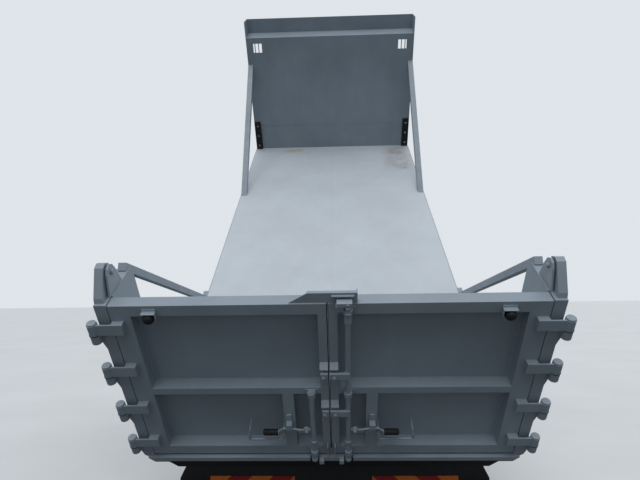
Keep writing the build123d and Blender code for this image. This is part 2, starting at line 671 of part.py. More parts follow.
front_stay_f0 = 3280
front_stay = stay(front_stay_f0, -40, 4760, 1120, bed_half_width - stay_size, stay_size)
above_floor = block(bed_half_width - 100, bed_half_width + 100, 0, bed_length, 0, 1500)
add_bed("stays", *both(front_stay & above_floor))

# Corner pillars: a box with an inner panel, two lugs on its cap and the foot of the rear stay
post_x0 = bed_half_width + 1
post_x1 = post_x0 + post_width
pillar_top = door_height + 4
pillar_low = -62
pillar_wall = 5
pillar = block(post_x0, post_x1, 0, pillar_depth, pillar_low, pillar_top)
pillar_hollow = block(post_x0 + pillar_wall, post_x1 - pillar_wall, pillar_wall, pillar_depth - pillar_wall,
                      pillar_low - 1, pillar_top - pillar_wall)
inner_panel = side_plate([(floor_start, 0), (panel_depth, 0), (panel_depth, pillar_top - 45),
                          (pillar_depth, pillar_top), (floor_start, pillar_top)],
                         bed_half_width - 6, post_x0)
inner_lug = side_plate([(60, pillar_top), (212, pillar_top), (186, 1185), (168, 1222), (142, 1236),
                        (114, 1228), (96, 1204)], post_x0, post_x0 + 10)
lug_bolt = across(post_x0 - 12, post_x0 + 12, 140, 1196, 13)
outer_lug = side_plate([(14, pillar_top), (196, pillar_top), (186, 1190), (166, 1230), (138, 1246),
                        (108, 1238), (88, 1212), (22, 1124)], post_x1 - 42, post_x1)
pillar_chamfer = rear_plate([(post_x1 + 1, -12), (post_x1 + 1, -200), (post_x0 - 1, -200),
                             (post_x0 - 1, pillar_low)], -1, pillar_depth + 1)
corner = pillar - pillar_hollow - pillar_chamfer + inner_panel + inner_lug + lug_bolt + outer_lug
add_bed("corner_posts", *both(corner))
rear_stay_foot = 1470
rear_stay = stay(rear_stay_foot, -40, 290, 1120, post_x0, rear_stay_size)
rear_stay = rear_stay - block(post_x0 - 1, post_x1 + 1, 0, pillar_depth, 0, pillar_top) \
    - block(post_x0 - 1, post_x1 + 1, 0, 2000, -200, 0)
outrigger = block(bed_half_width, post_x0 + rear_stay_size, rear_stay_foot - 110, rear_stay_foot + 60,
                  bearer_low, 0)
add_bed("stays", *both(rear_stay))
add_bed("bed_sills", *both(outrigger))

# Sill under the doors: a ledge whose ends are cut at 45 degrees, and a web set back under it
sill_top = -18
ledge_profile = [(-18, sill_top), (-18, -54), (22, -78), (22, -160), (floor_start, -160),
                 (floor_start, sill_top)]
sill_half = post_x1 + 4
rear_sill = side_plate(ledge_profile, -sill_half, sill_half)
chamfer_cut = rear_plate([(sill_half + 1, 60), (sill_half + 1, -200), (sill_half - 210, -200),
                          (sill_half - 50, sill_top - 22), (sill_half - 28, sill_top + 1)], -60, 200)
rear_sill = rear_sill - chamfer_cut - mirror(chamfer_cut, about=Plane.YZ)
pillar_space = block(post_x0 - 0.1, post_x1 + 10, -0.1, 400, -300, 60)
cam_space = block(lock_pipe_x - 24, lock_pipe_x + 28, -19, 0, -55, sill_top + 1)
for space in (pillar_space, cam_space):
    rear_sill = rear_sill - space - mirror(space, about=Plane.YZ)
add_bed("bed_sills", rear_sill)
side_strip = block(bed_half_width, bed_half_width + 6, panel_depth, bed_length, bearer_low - 5, -1)
side_strip = side_strip - block(bed_half_width - 1, post_x1, rear_stay_foot - 110, rear_stay_foot + 60,
                                -200, 100)
add_bed("bed_sills", *both(side_strip))

# Rear doors: a sheet at the back of a frame of rails, stiles and a rib


def door_leaf():
    """The right rear door's frame and sheet, in bed coordinates."""
    x0, x1 = door_gap / 2, bed_half_width - post_gap
    frame_back = door_depth - door_sheet
    sheet = block(x0, x1, frame_back, door_depth, 0, door_height)
    parts = [
        block(x1 - outer_stile, x1, 0, frame_back, 0, door_height),
        block(x0, x0 + centre_stile, 0, frame_back, 0, door_height),
        block(x0, x1, 0, frame_back, door_height - top_rail, door_height),
        block(x0, x1, 0, frame_back, mid_rail_low, mid_rail_high),
        block(x0, x1, 0, frame_back, 0, bottom_rail),
        block(rib_centre_x - rib_width / 2, rib_centre_x + rib_width / 2, 0, frame_back, 0, mid_rail_low),
    ]
    leaf = sheet
    for piece in parts:
        leaf = leaf + piece
    return leaf


def door_straps():
    """The four hinge straps of the right door, each with its knuckle."""
    straps = []
    for low in strap_low_u:
        high = low + strap_height
        spacer = block(strap_start_x, strap_start_x + 56, -strap_raise, 0, low, high)
        plate = block(strap_start_x, hinge_axis_x, -strap_raise - strap_plate, -strap_raise, low, high)
        knuckle_tube = bar((hinge_axis_x, hinge_axis_f, low), (hinge_axis_x, hinge_axis_f, high),
                           knuckle_radius)
        bore = bar((hinge_axis_x, hinge_axis_f, low - 1), (hinge_axis_x, hinge_axis_f, high + 1),
                   hinge_pin_radius + pin_clearance)
        straps.append(spacer + plate + knuckle_tube - bore)
    return straps


def post_brackets():
    """The knuckles, pins and gussets on the right corner post."""
    pieces = []
    for low in strap_low_u:
        top = low - 1
        tube = bar((hinge_axis_x, hinge_axis_f, top - 50), (hinge_axis_x, hinge_axis_f, top),
                   knuckle_radius)
        arm = block(post_x1, hinge_axis_x, hinge_axis_f, 28, top - 50, top)
        gusset = rear_plate([(post_x1, top - 50), (hinge_axis_x, top - 50), (post_x1, top - 130)], 4, 14)
        pin = bar((hinge_axis_x, hinge_axis_f, top), (hinge_axis_x, hinge_axis_f, top + strap_height + 5),
                  hinge_pin_radius)
        head = bar((hinge_axis_x, hinge_axis_f, top + strap_height + 2),
                   (hinge_axis_x, hinge_axis_f, top + strap_height + 8), knuckle_radius - 3)
        pieces.append(tube + arm + gusset + pin + head)
    return pieces


for piece in post_brackets():
    add_bed("door_hinges", *both(piece))


def pipe_guide(x, low, high):
    """A saddle with two ears that holds a lock pipe on a rail of the door."""
    guide = block(x - 34, x + 34, -6, 0, low, high) + block(x - 19, x + 19, lock_pipe_f, 0, low, high)
    return guide + bar((x, lock_pipe_f, low), (x, lock_pipe_f, high), 21)


def round_path(points, radius):
    """A round bar that follows straight runs between points, mitred at its bends."""
    path = Polyline(*points)
    start = Plane(origin=path @ 0, z_dir=path % 0)
    return sweep(start * Circle(radius), path=path, transition=Transition.RIGHT)


def handle():
    """The handle of a lock pipe with its clevis, grip and wire guard, on the right door."""
    f = lock_pipe_f - 6
    lever_start = lock_pipe_x + lock_pipe_radius + pin_clearance
    lever = round_path([(lever_start, f, 246), (165, f, 244), (207, f, 254), (258, f, 256),
                        (286, f, 230)], 6)
    blade = block(120, 182, f - 3, f + 3, 222, 246)
    clevis = block(209, 241, f - 12, 0, 252, 292)
    keeper = block(212, 238, -8, 0, 298, 336)
    grip = bar((284, f, 226), (366, f, 226), 16)
    guard_x0, guard_x1 = 258, 450
    guard = round_path([(guard_x0, door_depth - 4, 232), (guard_x0, f, 232), (guard_x0 + 5, f, 168),
                        (guard_x1, f, 168), (guard_x1 - 6, f, 236), (guard_x1 - 6, door_depth - 4, 236)], 4)
    return [lever + blade + clevis + grip, keeper, guard]


def lock_pipe(low, high, levels):
    """A lock pipe with its guides, the foot cam and the foot nut, on the right door."""
    pipe = bar((lock_pipe_x, lock_pipe_f, low), (lock_pipe_x, lock_pipe_f, high), lock_pipe_radius)
    for guide_low, guide_high in levels:
        pipe = pipe + pipe_guide(lock_pipe_x, guide_low, guide_high)
    cam = Pos(lock_pipe_x, lock_pipe_f, low + 8) * Cylinder(18, 16)
    nut = bar((lock_pipe_x, lock_pipe_f, low - 12), (lock_pipe_x, lock_pipe_f, low), 10)
    return pipe + cam + nut


def hood(u):
    """The sloping cover over a cross arm, as wide as a centre stile, on the right door."""
    return side_plate([(0, u + 40), (-32, u + 18), (-32, u + 10), (0, u + 10)],
                      door_gap / 2, door_gap / 2 + centre_stile)


def cross_arm(u):
    """The half of a cross arm that the right pipe carries; it ends at the gap of the doors."""
    f0, f1 = -46, -32
    arm = block(door_gap / 2 - 2, lock_pipe_x + 8, f0, f1, u - 40, u)
    boss = block(lock_pipe_x - 16, lock_pipe_x, f1, lock_pipe_f, u - 40, u)
    bolt = bar((27, f0 - 8, u - 22), (27, 0, u - 22), 9)
    return arm + boss + bolt


def arm_keeper(u):
    """The half of a cross arm on the left door, with its hook and bolt."""
    f0, f1 = -46, -32
    plate = block(-42, -door_gap / 2 - 0.5, f0, f1, u - 40, u)
    hook = rear_plate([(-42, u - 40), (-28, u - 40), (-34, u - 60), (-42, u - 60)], f0, f1)
    bolt = bar((-29, f0 - 8, u - 22), (-29, 0, u - 22), 9)
    return plate + hook + bolt


pipe_low = -24
bottom_guide = (28, 60)
middle_guide = (504, 534)
top_guide = (door_height - 42, door_height - 14)
right_pipe_top = 1122
right_gear = lock_pipe(pipe_low, right_pipe_top, [bottom_guide, middle_guide, top_guide])
collar = bar((lock_pipe_x, lock_pipe_f, 1010), (lock_pipe_x, lock_pipe_f, 1050), 17)
right_gear = right_gear + collar
right_arms = [cross_arm(u) - right_gear for u in cross_arm_u]
top_cam = block(44, lock_pipe_x + 20, -44, -10, 1108, 1130) - right_gear
top_block = block(40, 76, -34, 0, 1076, 1104)
top_ledge = block(20, 125, -10, 2, 1140, 1146)
cover_low = door_height + moving_gap + 1
top_cover = rear_plate([(-178, cover_low), (-90, 1157), (140, 1157), (140, door_height),
                        (door_gap, door_height), (door_gap, cover_low)], 2, 7)
cover_rim = block(-92, 140, 2, 20, 1153, 1157) + block(136, 140, 2, 34, door_height, 1157)
add_bed("right_lock_gear", right_gear, *right_arms, top_cam, *handle(), top_block,
        top_cover + cover_rim + top_ledge)
left_pieces = (lock_pipe(pipe_low, mid_rail_high, [bottom_guide, middle_guide]), *handle())
add_bed("left_lock_gear", *[mirror(shape, about=Plane.YZ) for shape in left_pieces])
for u in cross_arm_u:
    add_bed("left_lock_gear", arm_keeper(u))
for u in cross_arm_u:
    add_bed("right_rear_door", hood(u))
    add_bed("left_rear_door", mirror(hood(u), about=Plane.YZ))
fin = block(18, 24, -30, 0, 2, 88)
add_bed("right_rear_door", fin)
add_bed("left_rear_door", mirror(fin, about=Plane.YZ))
foot_keeper = block(44, 70, -40, -18, -52, -20)
add_bed("bed_sills", *both(foot_keeper))

door = door_leaf()
straps = door_straps()
add_bed("right_rear_door", door, *straps)
add_bed("left_rear_door", mirror(door, about=Plane.YZ), *[mirror(s, about=Plane.YZ) for s in straps])

# Cab: a hollow shell from one side profile, split where the panels meet

cab_profile = [(cab_back_y, 940), (wheelbase + 520, 940), (wheelbase + 560, cab_bottom),
               (cab_front_y, cab_bottom), (cab_front_y, 1260), (wheelbase + 880, 2080),
               (wheelbase + 760, 2290), (wheelbase + 520, cab_roof_z), (cab_back_y + 60, cab_roof_z),
               (cab_back_y, cab_roof_z - 60)]


def cab_solid(inset):
    """The cab's outer form, or the same form moved inward by an inset."""
    face = make_face(Polyline(*[(0, y, z) for y, z in cab_profile], close=True))
    if inset:
        face = offset(face, -inset, kind=Kind.INTERSECTION)
    half = cab_half_width - inset
    solid = extrude(Pos(-half, 0, 0) * face, 2 * half, dir=(1, 0, 0))
    return solid


cab_edge_radius = 45
outer = cab_solid(0)
side_edges = outer.faces().filter_by(Axis.X).edges()
outer = fillet(side_edges, cab_edge_radius)
inner = cab_solid(cab_wall)
skirt_void = block(-cab_half_width + cab_wall, cab_half_width - cab_wall, wheelbase + 500,
                   cab_front_y - cab_wall, cab_bottom - 1, 940)
shell = outer - inner - skirt_void
cab_floor_under = cab_floor_z - cab_wall
floor_slab = block(-cab_half_width + cab_wall, cab_half_width - cab_wall, cab_back_y + cab_wall,
                   cab_front_y - cab_wall, cab_floor_under, cab_floor_z)

door_front_y = wheelbase + 790
door_back_y = wheelbase - 230
door_low_z = 960
door_top_z = 2240


def door_outline(gap):
    """The cab door's outline in the side view, drawn in by a gap."""
    return [(door_back_y + gap, door_low_z + gap), (door_front_y - gap, door_low_z + gap),
            (door_front_y - gap, belt_z), (wheelbase + 640 - gap, door_top_z - gap),
            (door_back_y + gap, door_top_z - gap)]


window_shape = [(door_back_y + 90, belt_z + 30), (door_front_y - 110, belt_z + 30),
                (wheelbase + 590, door_top_z - 90), (door_back_y + 90, door_top_z - 90)]
side_opening = side_plate(door_outline(0), cab_half_width - cab_wall, cab_half_width + 5)
door_prism = side_plate(door_outline(cab_door_gap), cab_half_width - cab_wall, cab_half_width + 5)
window_prism = side_plate(window_shape, cab_half_width - cab_wall, cab_half_width + 5)
windshield_prism = block(-900, 900, wheelbase + 700, cab_front_y + 10, 1330, 2100)
back_window_prism = block(-600, 600, cab_back_y - 10, cab_back_y + 200, 1600, 2050)

shell = shell - floor_slab - side_opening - mirror(side_opening, about=Plane.YZ)
shell = shell - windshield_prism - back_window_prism
roof_z = 2260
front_split_y = wheelbase + 800
back_split_y = cab_back_y + cab_wall
roof_zone = block(-1200, 1200, cab_back_y - 50, cab_front_y + 50, roof_z, 2500)
back_zone = block(-1200, 1200, cab_back_y - 50, back_split_y, 600, roof_z)
front_zone = block(-1200, 1200, front_split_y, cab_front_y + 50, 600, roof_z)
add("cab_roof", shell & roof_zone)
add("cab_back", shell & back_zone)
add("cab_front", shell & front_zone)
add("cab_sides", (shell & block(-1200, 1200, back_split_y, front_split_y, 600, roof_z)))
door_relief = side_plate(door_outline(0), cab_half_width - cab_wall - cab_door_gap, cab_half_width)
floor_slab = floor_slab - door_relief - mirror(door_relief, about=Plane.YZ)
cab_lug = block(rail_outer_x - 38, rail_outer_x - 10, cab_tilt_y - 28, cab_front_y - cab_wall,
                cab_tilt_z - 28, cab_tilt_z + 28)
cab_lug = cab_lug - across(300, 500, cab_tilt_y, cab_tilt_z, 15 + pin_clearance)
add("cab_floor", floor_slab)
add("cab_front", *both(cab_lug))
grille = block(-640, 640, cab_front_y, cab_front_y + 14, 950, 1190)
for z in (975, 1030, 1085, 1140):
    grille = grille - block(-610, 610, cab_front_y + 5, cab_front_y + 15, z, z + 30)
add("cab_grille", grille)

full_outer = outer - inner
cab_door = (full_outer & door_prism) - window_prism
glass_slab = cab_solid(20) - cab_solid(26)
door_glass = glass_slab & window_prism
door_knuckle = 9
door_pin = 4
door_axis_x = cab_half_width + door_knuckle + 1
door_axis_y = door_front_y + 2
cab_hinges = [(1080, 40), (1380, 40)]
for z, height in cab_hinges:
    leaf = bar((door_axis_x, door_axis_y, z), (door_axis_x, door_axis_y, z + height), door_knuckle)
    leaf = leaf + block(cab_half_width, door_axis_x, door_axis_y - 60, door_axis_y, z, z + height)
    bore = bar((door_axis_x, door_axis_y, z - 1), (door_axis_x, door_axis_y, z + height + 1),
               door_pin + pin_clearance)
    cab_door = cab_door + (leaf - bore)
    pin = bar((door_axis_x, door_axis_y, z - 30), (door_axis_x, door_axis_y, z + height), door_pin)
    base = bar((door_axis_x, door_axis_y, z - 30), (door_axis_x, door_axis_y, z - 1), door_knuckle)
    strip = block(cab_half_width, door_axis_x, door_axis_y, door_axis_y + 60, z - 30, z - 1)
    add("cab_sides", *both(pin + base + strip))
add("right_cab_door", cab_door)
add("left_cab_door", mirror(cab_door, about=Plane.YZ))
add("right_door_glass", door_glass)
add("left_door_glass", mirror(door_glass, about=Plane.YZ))
add("cab_glass", glass_slab & windshield_prism)
add("cab_glass", glass_slab & back_window_prism)

for x in (-480, 480):
    base = block(x - 240, x + 240, wheelbase - 430, wheelbase + 60, cab_floor_z, 1330)
    back = block(x - 230, x + 230, wheelbase - 520, wheelbase - 400, 1330, 2000)
    add("seats", base + back)
dash_back = block(-990, 990, wheelbase + 640, wheelbase + 800, 1130, 1250)
dashboard = dash_back + block(-1000, 1000, wheelbase + 800, cab_front_y - cab_wall, 1130, 1250)
wheel_plane = Plane(origin=(480, wheelbase + 480, 1400), z_dir=(0, -0.5, 0.87))
column = extrude(wheel_plane * Circle(30), -330)
steering_wheel = wheel_plane * Torus(215, 15) + wheel_plane * Box(430, 30, 14)
add("steering_wheel", steering_wheel + column)
add("dashboard", dashboard - column - block(450, 510, wheelbase + 600, wheelbase + 700, 1100, 1255))
mirror_arm = block(cab_half_width, cab_half_width + 120, wheelbase + 800, wheelbase + 830, 1700, 1720)
mirror_head = block(cab_half_width + 110, cab_half_width + 250, wheelbase + 790, wheelbase + 850,
                    1550, 1950)
add("mirrors", *both(mirror_arm + mirror_head))

# The origin goes under the middle of the outline
everything_box = Compound(children=[s for solids in nodes.values() for s in solids]).bounding_box()
middle = Pos(-(everything_box.min.X + everything_box.max.X) / 2,
             -(everything_box.min.Y + everything_box.max.Y) / 2, -everything_box.min.Z)

for name, solids in nodes.items():
    export_step(middle * Compound(children=solids), f"parts/{name}.step")
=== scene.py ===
import json
import math
import bmesh
import bpy
import numpy as np
from mathutils import Matrix


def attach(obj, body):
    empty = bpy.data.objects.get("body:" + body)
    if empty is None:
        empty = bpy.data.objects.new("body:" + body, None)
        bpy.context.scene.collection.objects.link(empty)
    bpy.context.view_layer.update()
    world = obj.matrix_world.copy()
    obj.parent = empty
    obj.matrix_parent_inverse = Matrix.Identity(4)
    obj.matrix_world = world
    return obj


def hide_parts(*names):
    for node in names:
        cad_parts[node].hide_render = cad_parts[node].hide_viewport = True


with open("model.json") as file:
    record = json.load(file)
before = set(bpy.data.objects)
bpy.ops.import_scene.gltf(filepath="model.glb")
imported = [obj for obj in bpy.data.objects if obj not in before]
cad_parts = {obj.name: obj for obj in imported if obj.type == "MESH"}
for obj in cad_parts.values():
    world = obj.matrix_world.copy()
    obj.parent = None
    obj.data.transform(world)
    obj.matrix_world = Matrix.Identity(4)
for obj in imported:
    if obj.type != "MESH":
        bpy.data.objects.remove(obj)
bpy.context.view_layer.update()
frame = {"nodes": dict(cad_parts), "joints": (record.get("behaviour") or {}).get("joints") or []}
nodes = frame["nodes"]
joints = {joint["name"]: joint for joint in frame["joints"]}
print("stage: frame loaded,", len(nodes), "nodes")

# The raised bed's own axes: across, forward from the doors' outer face, up from the floor
bedFrame = {"tilt": 38.4, "axisForward": 0.47, "axisUp": -0.25, "length": 4.708}
tiltPin = np.array(joints["bed_tilt"]["pos_m"])
tiltCos = math.cos(math.radians(bedFrame["tilt"]))
tiltSin = math.sin(math.radians(bedFrame["tilt"]))
bedAxes = np.array([[1, 0, 0], [0, tiltCos, tiltSin], [0, -tiltSin, tiltCos]])
bedOrigin = tiltPin - np.array([0, bedFrame["axisForward"], bedFrame["axisUp"]]) @ bedAxes
rearAxle = np.array(joints["right_rear_wheels_spin"]["pos_m"])
truckOrigin = np.array([0, rearAxle[1], 0])     # the ground under the middle of the rear axle
wheelbase = 4.1
rearDoors = ((1, "right_rear_door"), (-1, "left_rear_door"))
cabDoors = ((1, "right_cab_door"), (-1, "left_cab_door"))


# Points measured on the bed, moved to the row frame: its origin plus each measure times its axis
def onBed(points):
    return np.asarray(points, float) @ bedAxes + bedOrigin


# Points measured from the ground under the rear axle, moved to the row frame
def onTruck(points):
    return np.asarray(points, float) + truckOrigin


# A grid of points whose rows are closed loops: a square between each two neighbouring rows and columns,
# and a flat lid on the first and last row
def loopShell(grid, lids=True):
    rows, cols = grid.shape[:2]
    row, col = np.arange(rows - 1)[:, None] * cols, np.arange(cols)[None]
    nextCol = (col + 1) % cols
    faces = np.stack([row + col, row + nextCol, row + cols + nextCol, row + cols + col], -1)
    faces = faces.reshape(-1, 4).tolist()
    if lids:
        faces += [list(range(cols))[::-1], list(range((rows - 1) * cols, rows * cols))]
    return grid.reshape(-1, 3), faces


# Evenly spaced points on a circle: (r cos a, r sin a)
def circle(radius, sides=12):
    angle = np.arange(sides) * 2 * math.pi / sides
    return np.stack([np.cos(angle), np.sin(angle)], -1) * radius


# A profile of (radius, height) in millimetres, turned about the height axis: x = r cos a, y = r sin a
def turned(profile, sides=32):
    profile = np.asarray(profile, float) / 1000
    grid = np.empty((len(profile), sides, 3))
    grid[..., :2] = profile[:, None, :1] * circle(1, sides)
    grid[..., 2] = profile[:, 1:]
    return loopShell(grid)


# A block with rounded sides: a rounded rectangle that draws in along a quarter circle at both ends
def roundBlock(size, radius, steps=3, corner=3):
    half = np.asarray(size, float) / 2
    turn = np.linspace(0, math.pi / 2, steps + 1)
    drawIn, rise = radius * (1 - np.cos(turn)), radius * (1 - np.sin(turn))
    inset = np.concatenate([drawIn[::-1], drawIn])
    level = np.concatenate([rise[::-1] - half[2], half[2] - rise])
    around = np.concatenate([np.linspace(q, q + math.pi / 2, corner + 1) for q in np.arange(4) * math.pi / 2])
    signX = np.repeat([1, -1, -1, 1], corner + 1)
    signY = np.repeat([1, 1, -1, -1], corner + 1)
    cornerR = np.maximum(radius - inset, radius * 0.02)[:, None]
    x = signX * (half[0] - radius) + cornerR * np.cos(around)
    y = signY * (half[1] - radius) + cornerR * np.sin(around)
    return loopShell(np.stack([x, y, np.broadcast_to(level[:, None], x.shape)], -1))


# A section in millimetres carried along a path in metres: each point is path + side * across + up * lift,
# its frame square to the path
def carried(section, path, lift, closedPath=False):
    section, path = np.asarray(section, float) / 1000, np.asarray(path, float)
    if closedPath:
        ahead = np.roll(path, -1, 0) - np.roll(path, 1, 0)
    else:
        ahead = np.gradient(path, axis=0)
    ahead /= np.linalg.norm(ahead, axis=1, keepdims=True)
    side = np.cross(ahead, np.asarray(lift, float))
    side /= np.linalg.norm(side, axis=1, keepdims=True)
    up = np.cross(side, ahead)
    grid = path[:, None] + section[None, :, :1] * side[:, None] + section[None, :, 1:] * up[:, None]
    if closedPath:
        grid = np.concatenate([grid, grid[:1]])
    return loopShell(grid, lids=not closedPath)


# A section of (across, deep) raised through levels, its depth times a share at each level
def raised(section, levels, shares, forward):
    section = np.asarray(section, float)
    grid = np.empty((len(levels), len(section), 3))
    grid[..., 0] = section[:, 0]
    grid[..., 1] = forward + np.asarray(shares)[:, None] * section[:, 1]
    grid[..., 2] = np.asarray(levels)[:, None]
    return loopShell(grid)


# Copies of one shape, each at its own place, all on the same axes, put together as one set of arrays
def copies(shape, places, axes=np.eye(3)):
    points, faces = np.asarray(shape[0], float), shape[1]
    places = np.asarray(places, float).reshape(-1, 3)
    moved = (points @ axes)[None] + places[:, None]
    allFaces = [[corner + k * len(points) for corner in face] for k in range(len(places)) for face in faces]
    return moved.reshape(-1, 3), allFaces


def joined(*shapes):
    points, faces, count = [], [], 0
    for shapePoints, shapeFaces in shapes:
        points.append(np.asarray(shapePoints, float))
        faces += [[corner + count for corner in face] for face in shapeFaces]
        count += len(shapePoints)
    return np.concatenate(points), faces


# Axes that lay a shape's height along a direction
def facing(direction, lift=(0, 0, 1)):
    out = np.asarray(direction, float) / np.linalg.norm(direction)
    side = np.cross(lift, out)
    if np.linalg.norm(side) < 1e-6:
        side = np.array([1.0, 0, 0])
    side /= np.linalg.norm(side)
    return np.array([side, np.cross(out, side), out])


rearward, forward, outward = facing((0, -1, 0)), facing((0, 1, 0)), facing((1, 0, 0))


def mirrored(shape):
    return np.asarray(shape[0]) * [-1, 1, 1], shape[1]


def bothSides(shape):
    return joined(shape, mirrored(shape))


def onSide(side, shape):
    return shape if side > 0 else mirrored(shape)


# A block between two corners, its edges rounded
def blockAt(low, high, radius=0.004):
    low, high = np.array(low, float), np.array(high, float)
    return copies(roundBlock(high - low, radius), [(low + high) / 2])


# Corners of a rectangle that stands square to the truck's length
def frameAt(x0, x1, z0, z1, y):
    return [(x0, y, z0), (x1, y, z0), (x1, y, z1), (x0, y, z1)]


# A path round a polygon: each corner is cut short and turned with a quadratic curve between its two sides
def cornered(corners, radius, steps=4, openEnds=False):
    corners = np.asarray(corners, float)
    share = np.linspace(0, 1, steps + 1)[:, None]
    points = []
    for k, corner in enumerate(corners):
        if openEnds and k in (0, len(corners) - 1):
            points.append(corner[None])
            continue
        before, after = corners[k - 1] - corner, corners[(k + 1) % len(corners)] - corner
        start = corner + before / np.linalg.norm(before) * radius
        end = corner + after / np.linalg.norm(after) * radius
        points.append((1 - share) ** 2 * start + 2 * share * (1 - share) * corner + share ** 2 * end)
    return np.concatenate(points)


# A section carried all the way round a frame with rounded corners
def rimRound(section, corners, bend, lift, steps=4):
    return carried(section, cornered(corners, bend, steps), lift, True)


# A smooth tube along a few points: the path is filled in with a cubic curve through them
def tube(points, radius, sides=10, each=8):
    points = np.asarray(points, float)
    padded = np.concatenate([2 * points[:1] - points[1:2], points, 2 * points[-1:] - points[-2:-1]])
    share = np.linspace(0, 1, each, endpoint=False)[:, None]
    runs = []
    for k in range(len(points) - 1):
        a, b, c, d = padded[k:k + 4]
        runs.append(0.5 * (2 * b + (c - a) * share + (2 * a - 5 * b + 4 * c - d) * share ** 2
                + (3 * b - a - 3 * c + d) * share ** 3))
    path = np.concatenate(runs + [points[-1:]])
    return carried(circle(radius, sides), path, (0.13, 0.21, 0.97))     # a lift that no tube here runs along


# The record's slot for each finish, looked up for each piece unless the piece names its own; the piece does not keep
# it
slots = {"greyPaint": "grey_paint", "floorPaint": "floor_paint", "cabPaint": "white_paint",
    "framePaint": "black_paint", "castIron": "cast_grey", "darkPlastic": "dark_plastic", "rubber": "rubber",
    "buffer": "rubber", "seatCloth": "seat_fabric", "galvanised": "bare_steel", "clearLens": "lamp_lens",
    "redLens": "lamp_lens", "amberLens": "lamp_lens", "mirrorGlass": "glass"}


# A shape made a piece: moved to the row frame, faces turned outwards, smooth but for its sharp edges
def newPiece(name, shape, body, finish, where=onTruck, sharp=38, slot=None):
    mesh = bpy.data.meshes.new(name)
    mesh.from_pydata(where(shape[0]).tolist(), [], [list(map(int, face)) for face in shape[1]])
    merged = bmesh.new()
    merged.from_mesh(mesh)
    bmesh.ops.remove_doubles(merged, verts=merged.verts, dist=2e-6)
    bmesh.ops.recalc_face_normals(merged, faces=merged.faces)
    merged.to_mesh(mesh)
    merged.free()
    mesh.polygons.foreach_set("use_smooth", np.ones(len(mesh.polygons), bool))
    mesh.set_sharp_from_angle(angle=math.radians(sharp))
    mesh.materials.append(coats[finish])
    piece = bpy.data.objects.new(name, mesh)
    bpy.context.scene.collection.objects.link(piece)
    slot = slot or slots[finish]
    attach(piece, body)
    return piece


# One piece on each door of a pair, the left one a mirror image
def onDoors(name, shape, doors, finish, where=onTruck):
    for side, body in doors:
        newPiece(name + body, onSide(side, shape), body, finish, where)


# Colours as they are read off a colour card, 0 to 255, turned to the renderer's linear values
def card(red, green, blue):
    shares = np.array([red, green, blue]) / 255
    linear = np.where(shares <= 0.04045, shares / 12.92, ((shares + 0.055) / 1.055) ** 2.4)
    return (*linear.tolist(), 1.0)


class Wires:
    # A short way to wire nodes: add a node with its settings, then join outputs to inputs
    def __init__(self, name):
        self.material = bpy.data.materials.new(name)
        self.material.use_nodes = True
        self.tree = self.material.node_tree
        self.shader = self.tree.nodes["Principled BSDF"]
        self.where = self.add("ShaderNodeTexCoord").outputs["Object"]

    def add(self, kind, links=(), **settings):
        node = self.tree.nodes.new(kind)
        for key, value in settings.items():
            setattr(node, key, value)
        for socket, source in dict(links).items():
            self.give(node.inputs[socket], source)
        return node

    def give(self, socket, source):
        if isinstance(source, bpy.types.NodeSocket):
            self.tree.links.new(source, socket)
        else:
            socket.default_value = source

    def noise(self, scale, detail=3.0, rough=0.55, stretch=None):
        place = self.where
        if stretch is not None:
            place = self.add("ShaderNodeMapping", {0: place, 3: stretch}).outputs[0]
        links = {"Vector": place, "Scale": scale, "Detail": detail, "Roughness": rough}
        return self.add("ShaderNodeTexNoise", links).outputs["Fac"]

    # Noise spread over a range: its scale, detail and roughness, and where it begins and is full
    def patches(self, noise, ends, toLow=0.0, toHigh=1.0, stretch=None):
        return self.span(self.noise(*noise, stretch=stretch), *ends, toLow, toHigh)

    # The place on the bed's own axes: turned back by the tilt, then measured from the doors' foot
    def bedPlace(self):
        turnBack = (-math.radians(bedFrame["tilt"]), 0, 0)
        start = (-(bedAxes @ bedOrigin)).tolist()
        return self.add("ShaderNodeMapping", {0: self.where, 1: start, 2: turnBack}).outputs[0]

    def parts(self):
        return self.add("ShaderNodeSeparateXYZ", {0: self.where}).outputs[:3]

    # 1 inside low..high and 0 outside, with a soft border on both sides
    def between(self, value, low, high, soft):
        rise = self.span(value, low - soft, low + soft)
        return self.calc("MULTIPLY", rise, self.span(value, high - soft, high + soft, 1.0, 0.0))

    def span(self, value, low, high, toLow=0.0, toHigh=1.0):
        return self.add("ShaderNodeMapRange", {0: value, 1: low, 2: high, 3: toLow, 4: toHigh}).outputs[0]

    def calc(self, operation, first, second=0.0, clamp=False):
        return self.add("ShaderNodeMath", {0: first, 1: second}, operation=operation, use_clamp=clamp).outputs[0]

    def mix(self, share, first, second):
        return self.add("ShaderNodeMix", {0: share, 6: first, 7: second}, data_type="RGBA").outputs[2]

    def bump(self, height, strength, distance, under=None):
        links = {"Height": height, "Strength": strength, "Distance": distance}
        if under is not None:
            links["Normal"] = under
        return self.add("ShaderNodeBump", links).outputs[0]


